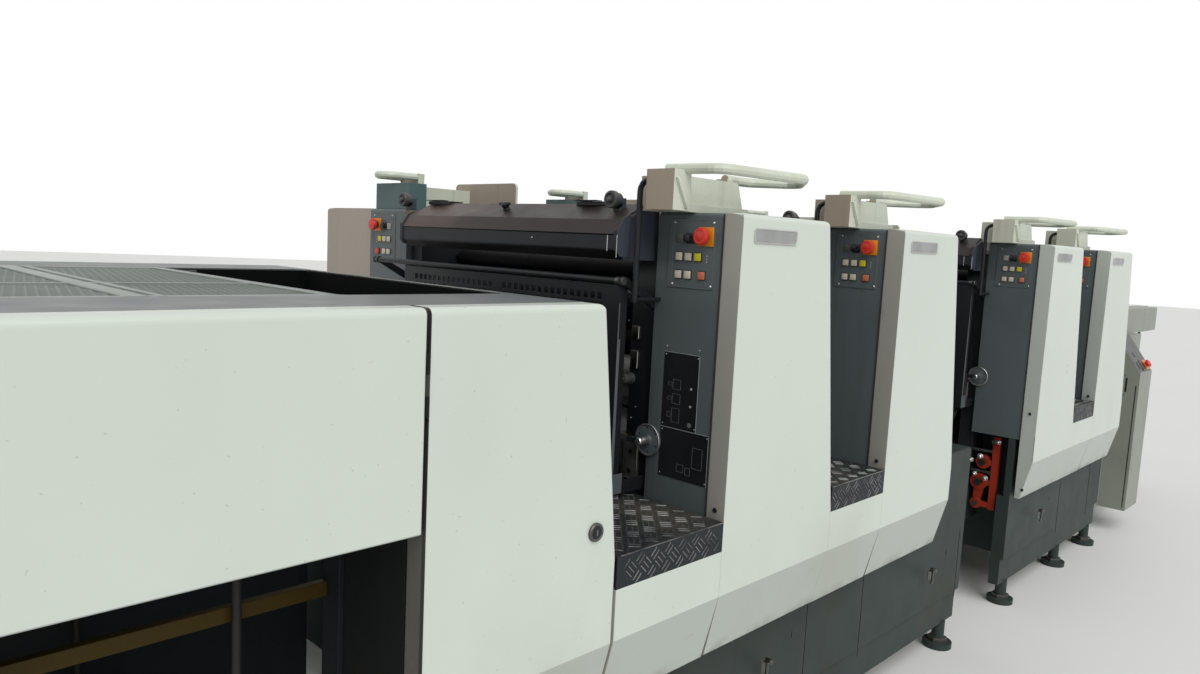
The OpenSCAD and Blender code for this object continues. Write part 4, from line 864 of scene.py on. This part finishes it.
class PRESS_OT_frame_fittings(Operator):
    """Fit the box handles, knob, adjusting plate, dial and lever on the operator's frames"""
    bl_idname = "press.frame_fittings"
    bl_label = "Frame fittings"

    def execute(self, context):
        bm = bmesh.new()
        for _, x in UNIT_EDGES:
            face = x + 0.04
            add_block(bm, (face - 0.006, -0.782, 0.965), (face + 0.001, -0.684, 1.69), 0.002)
            # Box handles, with their rims rubbed bright, over the knob
            rim_y = -0.7225
            knob_y, knob_z = -0.692, 1.272
            for z, half in ((1.409, 0.019), (1.33, 0.026)):
                add_block(bm, (face - 0.014, -0.721, z - half), (face - 0.004, knob_y, z + half), 0.002, 2, 2)
                add_block(bm, (face - 0.0165, rim_y, z - half), (face - 0.013, rim_y + 0.004, z + half), 0.001, 1, 3)
                add_block(bm, (face - 0.0165, rim_y, z + half - 0.003), (face - 0.013, -0.702, z + half), 0.001, 1, 3)
            add_ring(bm, (face - 0.004, knob_y, knob_z), DELIVERY,
                     [(0.017, 0), (0.017, 0.006), (0.0125, 0.008), (0.0125, 0.02), (0.015, 0.022), (0.015, 0.034),
                      (0.011, 0.037), (0, 0.038)], 24, 4)
            add_ring(bm, (face - 0.04, knob_y, knob_z), DELIVERY, [(0.005, 0), (0.004, 0.003), (0, 0.0034)], 12, 2)
            for y, z in ((-0.716, 1.19), (-0.7, 1.155), (-0.672, 1.44)):
                add_ring(bm, (face - 0.006, y, z), DELIVERY, FRAME_SCREW, 10, 3)
            # Adjusting plate with two holes and rubbed edges, under the disc's lever
            add_block(bm, (face - 0.016, -0.741, 0.977), (face - 0.006, -0.684, 1.104), 0.002, 2, 4)
            rim_y = -0.7425
            for right, bottom, top in ((-0.739, 0.978, 1.073), (-0.69, 0.9765, 0.9795)):
                add_block(bm, (face - 0.0175, rim_y, bottom), (face - 0.015, right, top), 0.0008, 1, 3)
            for y, z in ((-0.714, 1.058), (-0.711, 0.999)):
                add_ring(bm, (face - 0.0162, y, z), DELIVERY, [(0.0075, 0), (0.0075, 0.0008), (0, 0.0009)], 16)
            add_block(bm, (x - 0.026, -0.768, 1.101), (x - 0.016, -0.702, 1.118), 0.002, 1, 4)
            add_block(bm, (x - 0.0275, -0.77, 1.1165), (x - 0.015, -0.702, 1.119), 0.0008, 1, 3)
            # Disc: a rim rubbed bright, a dull face, screws round its edge, and the stub shaft
            radius = 0.044
            centre = Vector((x + 0.0085, -0.792, 1.11))
            add_ring(bm, centre, DELIVERY,
                     [(radius + 0.0015, -0.004), (radius + 0.002, 0.002), (radius, 0.0034), (radius - 0.002, 0.0028),
                      (radius - 0.003, 0.0006), (0.015, 0.0006), (0.014, 0.004), (0.0125, 0.005)], 40, 5)
            add_ring(bm, centre, DELIVERY,
                     [(radius + 0.0014, 0.0022), (radius + 0.0024, 0.003), (radius + 0.001, 0.0042),
                      (radius, 0.0036)], 40, 3)
            screws, reach = 6, 0.035
            for mark in range(screws):
                angle = math.tau * (mark + 0.4) / screws
                spot = centre + Vector((-0.0006, reach * math.cos(angle), reach * math.sin(angle)))
                add_disc(bm, spot, DELIVERY, 0.0026, 0.0008, sides=10)
            add_ring(bm, centre, DELIVERY,
                     [(0.0125, 0.004), (0.0125, 0.03), (0.0115, 0.032), (0.0115, 0.0395), (0.009, 0.043),
                      (0, 0.0435)], 20, 1)
        keys = ("black", "bright", "dark_steel", "worn_steel", "knob_grey", "slate")
        finished("frame_fittings", bm, keys)
        return {"FINISHED"}


class PRESS_OT_guard_fittings(Operator):
    """Fit the plate guards' light edge strips and the ends of their rails"""
    bl_idname = "press.guard_fittings"
    bl_label = "Guard fittings"

    def execute(self, context):
        bm = bmesh.new()
        for number, cover_edge in UNIT_EDGES:
            x = cover_edge - 0.116
            edge = low(f"unit_{number}_plate_guard")[1] + 0.012
            # The light strip narrows at the guard's bend
            for bottom, top, wide in ((1.0, 1.402, 0.009), (1.402, 1.5, 0.003)):
                add_block(bm, (x - 0.0014, edge - 0.0008, bottom), (x + wide, edge + 0.001, top), 0.0005, 1, 1)
            for end, way in ((edge - 0.012, -1), (high(f"unit_{number}_plate_guard")[1], 1)):
                add_ring(bm, (x, end, RAIL_Z), (0, way, 0),
                         [(0.0118, -0.026), (0.0118, -0.003), (0.01, 0.0005), (0, 0.001)], 18, 2)
            # Small bracket under the guard's lower corner
            add_block(bm, (x - 0.004, edge - 0.002, 0.962), (x + 0.045, edge + 0.001, 1.02), 0.001, 1)
        finished("guard_fittings", bm, ("slate", "worn_edge", "dark_steel"))
        return {"FINISHED"}


class PRESS_OT_handrail_braces(Operator):
    """Brace the handrails from their bracket down to the covers' top"""
    bl_idname = "press.handrail_braces"
    bl_label = "Handrail braces"

    def execute(self, context):
        bm = bmesh.new()
        for _, x in UNIT_EDGES:
            # A flat bar leans from the tube's root down to the cover's top
            top = Vector((x - 0.096, COVER_Y + 0.1465, COVER_TOP + 0.085))
            foot = Vector((x - 0.05, COVER_Y + 0.1465, COVER_TOP + 0.006))
            run = foot - top
            bar = add_slab(bm, stood((top + foot) / 2, run) @ Matrix.Diagonal((0.013, 0.01, run.length, 1)))
            round_edges(bm, {edge for vert in bar for edge in vert.link_edges}, 0.004)
        finished("handrail_braces", bm, ("cream",))
        return {"FINISHED"}


class PRESS_OT_linkage_fittings(Operator):
    """Fit bolts, a spring and bright ends on the register linkage"""
    bl_idname = "press.linkage_fittings"
    bl_label = "Linkage fittings"

    def execute(self, context):
        bm = bmesh.new()
        x, front, _ = low("register_linkage")
        # Bolts: how far behind the linkage's front, their height, radius and material
        for behind, z, radius, material in ((0.006, 0.8, 0.008, 1), (0.085, 0.716, 0.01, 1), (0.052, 0.612, 0.009, 2),
                                            (0.105, 0.625, 0.008, 1), (0.128, 0.69, 0.009, 2)):
            head = radius * 1.3
            add_ring(bm, (x + 0.002, front + behind, z), DELIVERY,
                     [(head, -0.004), (head, 0.006), (radius, 0.008), (radius, 0.02), (radius * 0.6, 0.024),
                      (0, 0.0245)], 20, material)
        turns, pitch = 9, 0.009
        for turn in range(turns):
            add_ring(bm, (x + 0.012, front + 0.03, 0.7 - turn * pitch), UP,
                     [(0.0085, 0), (0.01, 0.002), (0.0085, 0.004), (0.007, 0.002), (0.0085, 0)], 14)
        finished("linkage_fittings", bm, ("dark_steel", "bright", "worn_steel"))
        return {"FINISHED"}


class PRESS_OT_feeder_fittings(Operator):
    """Fit the console's stop button, key pad, slot and joints on the feeder"""
    bl_idname = "press.feeder_fittings"
    bl_label = "Feeder fittings"

    def execute(self, context):
        bm = bmesh.new()
        a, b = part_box("feeder_console")
        # Along the console's slope and square to it
        fall = Vector((0, -0.151, -0.221)).normalized()
        out = Vector((0, -0.826, 0.564))
        foot = Vector((0, a[1], CONSOLE_LOW))
        centre = foot - fall * 0.048 + Vector((b[0] - 0.06, 0, 0))
        add_ring(bm, centre, out,
                 [(0.016, 0), (0.016, 0.01), (0.024, 0.014), (0.024, 0.024), (0.018, 0.029), (0, 0.031)], 26, 1)
        # The slope's face, the stop button's plate, and the key pad with its two dark keys
        lie = Matrix((Vector((1, 0, 0)), fall, out)).transposed().to_4x4()
        across = Vector(((a[0] + b[0]) / 2, 0, 0))
        slabs = [(foot - fall * 0.134 + across, (b[0] - a[0] - 0.008, 0.256, 0.002), 2),
                 (centre, (0.074, 0.066, 0.007), 3),
                 (centre - Vector((0.082, 0, 0)), (0.08, 0.066, 0.012), 0)]
        for index, width in enumerate((0.03, 0.018)):
            spot = foot - fall * (0.052 + 0.075 * index) + Vector((a[0] + 0.075 + 0.03 * index, 0, 0))
            slabs.append((spot, (width * 2, width * 1.6, 0.008), 0))
        for spot, shape, material in slabs:
            add_slab(bm, Matrix.Translation(spot) @ lie @ Matrix.Diagonal((*shape, 1)), material)
        # Slot and long joint in the console's side, and joints in the covers
        add_block(bm, (a[0] - 0.0006, -1.009, 0.9), (a[0] + 0.001, -0.999, 0.988))
        add_block(bm, (a[0] - 0.0006, -1.061, 0.17), (a[0] + 0.001, -1.0555, 0.946))
        for z in (0.88, 1.005, 1.006):
            add_disc(bm, (a[0], -0.996, z), DELIVERY, 0.003, 0.001, sides=10)
        face = low("feeder_side_covers")[1]
        for x in (low("feeder_side_covers")[0] + 0.27, low("feeder_side_covers")[0] + 0.62):
            add_block(bm, (x - 0.0015, face - 0.0006, 0.155), (x + 0.0015, face + 0.001, 1.23))
        finished("feeder_fittings", bm, ("button_black", "button_red", "slope_grey", "button_orange"))
        return {"FINISHED"}


class PRESS_OT_joints(Operator):
    """Draw the dark joints between the covers, and fit nuts on the levelling feet"""
    bl_idname = "press.joints"
    bl_label = "Joints and feet"

    def execute(self, context):
        bm = bmesh.new()
        for number, x in UNIT_EDGES:
            # Thin dark line where a cover meets the housing behind its slanted edge
            add_block(bm, (x + 0.0115, COVER_Y + 0.0695, 0.84), (x + 0.016, COVER_Y + 0.073, COVER_TOP - 0.004))
            for y in (COVER_Y + 0.001, -COVER_Y - 0.0018):
                for edge in (x, high(f"unit_{number}_side_covers")[0]):
                    add_block(bm, (edge - 0.001, y, 0.745), (edge + 0.001, y + 0.0008, FOOT_Z - 0.082))
        for node in ("delivery_section_bed", "feeder_section_bed"):
            for x, y in foot_places(node):
                add_ring(bm, (x, y, 0.024), UP, [(0.04, 0), (0.04, 0.018), (0.027, 0.022)], 6, 1)
        finished("joints_and_feet", bm, ("outline_dark", "dark_steel"))
        return {"FINISHED"}


def foot_places(node):
    """Middles of a bed's levelling feet, read from the frame's flat discs on the floor."""
    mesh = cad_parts[node].data
    floor = [vert.co for vert in mesh.vertices if vert.co.z < 0.001]
    places = []
    for spot in floor:
        for place in places:
            if (Vector((spot.x, spot.y)) - place[0]).length < 0.15:
                place[1].append(spot)
                break
        else:
            places.append([Vector((spot.x, spot.y)), [spot]])
    return [((min(p.x for p in group) + max(p.x for p in group)) / 2,
             (min(p.y for p in group) + max(p.y for p in group)) / 2) for _, group in places]


# Colours and sizes that a user would change

def colour_property(name, description, default):
    return bpy.props.FloatVectorProperty(name=name, description=description, default=default, size=3,
                                         min=0.0, max=1.0, subtype="COLOR")


class PressColours(PropertyGroup):
    cover: colour_property("Covers", "Enamel of the side covers", (0.62, 0.68, 0.61))
    slate: colour_property("Housings", "Enamel of the control housings", (0.098, 0.118, 0.122))
    base: colour_property("Base", "Enamel of the base and skirts", (0.031, 0.045, 0.042))
    floor: colour_property("Floor", "Plain floor under the press", (0.74, 0.74, 0.73))


class PressSizes(PropertyGroup):
    tread_cell: bpy.props.FloatProperty(name="Tread cell",
                                        description="Side of a square of the tread plate's pattern",
                                        default=0.044, min=0.03, max=0.09, unit="LENGTH")
    mesh_strand: bpy.props.FloatProperty(name="Mesh strand",
                                         description="Distance between strands of the expanded mesh",
                                         default=0.0085, min=0.006, max=0.03, unit="LENGTH")
    sun: bpy.props.FloatProperty(name="Sun", description="Strength of the soft lamp", default=1.85, min=0.0)
    sky: bpy.props.FloatProperty(name="Sky", description="Strength of the even light all round", default=0.54,
                                 min=0.0)


def colours():
    return bpy.context.scene.press_colours


def sizes():
    return bpy.context.scene.press_sizes


# Finishes of the nodes, the stage and the panel

# The photograph's camera: its place, and its focal length for a 36 mm sensor
EYE = (-3.4, -2.37, 1.66)
LENS = 25.75


class PRESS_OT_finishes(Operator):
    """Give every node of the frame its finish"""
    bl_idname = "press.finishes"
    bl_label = "Finishes"

    def execute(self, context):
        plain = {"printing_cylinders": "steel", "inking_rollers": "rubber", "handrails": "cream",
                 "grab_rails": "black", "push_buttons": "black", "footboards": "tread",
                 "footboard_skirts": "cover", "step_boxes": "teal", "drive_side_boxes": "box",
                 "register_linkage": "red",
                 "linkage_shafts": "dark_steel", "delivery_section_bed": "teal", "feeder_section_bed": "teal",
                 "delivery_frames": "cast", "delivery_side_covers": "cover", "delivery_deck": "deck",
                 "delivery_mesh_guard": "black", "delivery_end_cover": "deck", "delivery_pile_table": "wood",
                 "pile_guard_rails": "yellow", "electrical_cabinet": "cabinet", "cabinet_door": "cover",
                 "feeder_frames": "feeder", "feeder_side_covers": "feeder", "feeder_console": "feeder",
                 "feed_board": "bright", "suction_head": "cast", "feeder_pile_table": "wood"}
        of_unit = {"frames": "cast", "control_housings": "slate", "side_covers": "cover", "ink_duct": "duct",
                   "plate_guard": "black"}
        for name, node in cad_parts.items():
            key = plain.get(name) or of_unit[name.split("_", 2)[2]]
            for slot in node.material_slots:
                slot.material = finish(key)
        return {"FINISHED"}


class PRESS_OT_stage(Operator):
    """Lay the floor, and set the camera, the lamp and the sky"""
    bl_idname = "press.stage"
    bl_label = "Stage"

    def execute(self, context):
        paint = Paint("studio floor", roughness=0.7)
        paint.set("Base Color", paint.mix(paint.noise(0.8, 3.0), colours().floor[:],
                                          tuple(c * 0.97 for c in colours().floor)))
        bm = bmesh.new()
        bmesh.ops.create_circle(bm, cap_ends=True, segments=64, radius=45)
        mesh = bpy.data.meshes.new("studio_floor")
        bm.to_mesh(mesh)
        bm.free()
        floor = bpy.data.objects.new("studio_floor", mesh)
        mesh.materials.append(paint.material)
        context.scene.collection.objects.link(floor)

        sky = bpy.data.worlds.new("studio sky")
        sky.use_nodes = True
        context.scene.world = sky
        tree = Nodes(sky.node_tree)
        path = {kind: tree.node("ShaderNodeLightPath", out=kind)
                for kind in ("Is Camera Ray", "Is Glossy Ray", "Is Transmission Ray")}
        seen = path["Is Camera Ray"] + path["Is Glossy Ray"] * 0.8 + path["Is Transmission Ray"]
        background = sky.node_tree.nodes["Background"]
        tree.plug(background.inputs["Color"], (1.0, 1.0, 1.0))
        tree.plug(background.inputs["Strength"], seen.math("MAXIMUM", seen, sizes().sky))

        lamp = bpy.data.lights.new("soft_sun", "SUN")
        lamp.energy = sizes().sun
        lamp.angle = math.radians(50)
        sun = bpy.data.objects.new("soft_sun", lamp)
        sun.rotation_euler = Vector((-0.35, -0.75, 0.85)).to_track_quat("Z", "Y").to_euler()
        context.scene.collection.objects.link(sun)

        view = bpy.data.cameras.new("camera")
        view.lens = LENS
        view.sensor_width = 36
        view.clip_end = 200
        camera = bpy.data.objects.new("camera", view)
        right = Vector((0.703, -0.7095, 0.0492))
        up = Vector((0.0426, 0.1111, 0.9929))
        ahead = Vector((0.7099, 0.6959, -0.1083))
        turn = Matrix((right, up, -ahead)).transposed().to_4x4()
        camera.matrix_world = Matrix.Translation(EYE) @ turn
        context.scene.collection.objects.link(camera)
        context.scene.camera = camera
        context.scene.view_settings.view_transform = "Standard"
        return {"FINISHED"}


STEPS = (PRESS_OT_finishes, PRESS_OT_push_buttons, PRESS_OT_badge_plates, PRESS_OT_cover_fittings, PRESS_OT_door_lock,
         PRESS_OT_label_plates, PRESS_OT_treads, PRESS_OT_delivery_mesh, PRESS_OT_well_lining, PRESS_OT_duct_fittings,
         PRESS_OT_frame_fittings,
         PRESS_OT_guard_fittings, PRESS_OT_handrail_braces, PRESS_OT_linkage_fittings, PRESS_OT_feeder_fittings,
         PRESS_OT_joints, PRESS_OT_stage)


class PRESS_PT_panel(Panel):
    """Lists the steps that dress the press"""
    bl_idname = "PRESS_PT_panel"
    bl_label = "Press"
    bl_space_type = "VIEW_3D"
    bl_region_type = "UI"
    bl_category = "Press"

    def draw(self, context):
        for group in (context.scene.press_colours, context.scene.press_sizes):
            for key in group.__annotations__:
                self.layout.prop(group, key)
        for step in STEPS:
            self.layout.operator(step.bl_idname)


def register():
    for each in (PressColours, PressSizes, *STEPS, PRESS_PT_panel):
        bpy.utils.register_class(each)
    bpy.types.Scene.press_colours = bpy.props.PointerProperty(type=PressColours)
    bpy.types.Scene.press_sizes = bpy.props.PointerProperty(type=PressSizes)


def unregister():
    del bpy.types.Scene.press_sizes
    del bpy.types.Scene.press_colours
    for each in (PRESS_PT_panel, *reversed(STEPS), PressSizes, PressColours):
        bpy.utils.unregister_class(each)


def main():
    register()
    for step in STEPS:
        group, name = step.bl_idname.split(".")
        getattr(getattr(bpy.ops, group), name)()


if __name__ == "__main__":
    main()
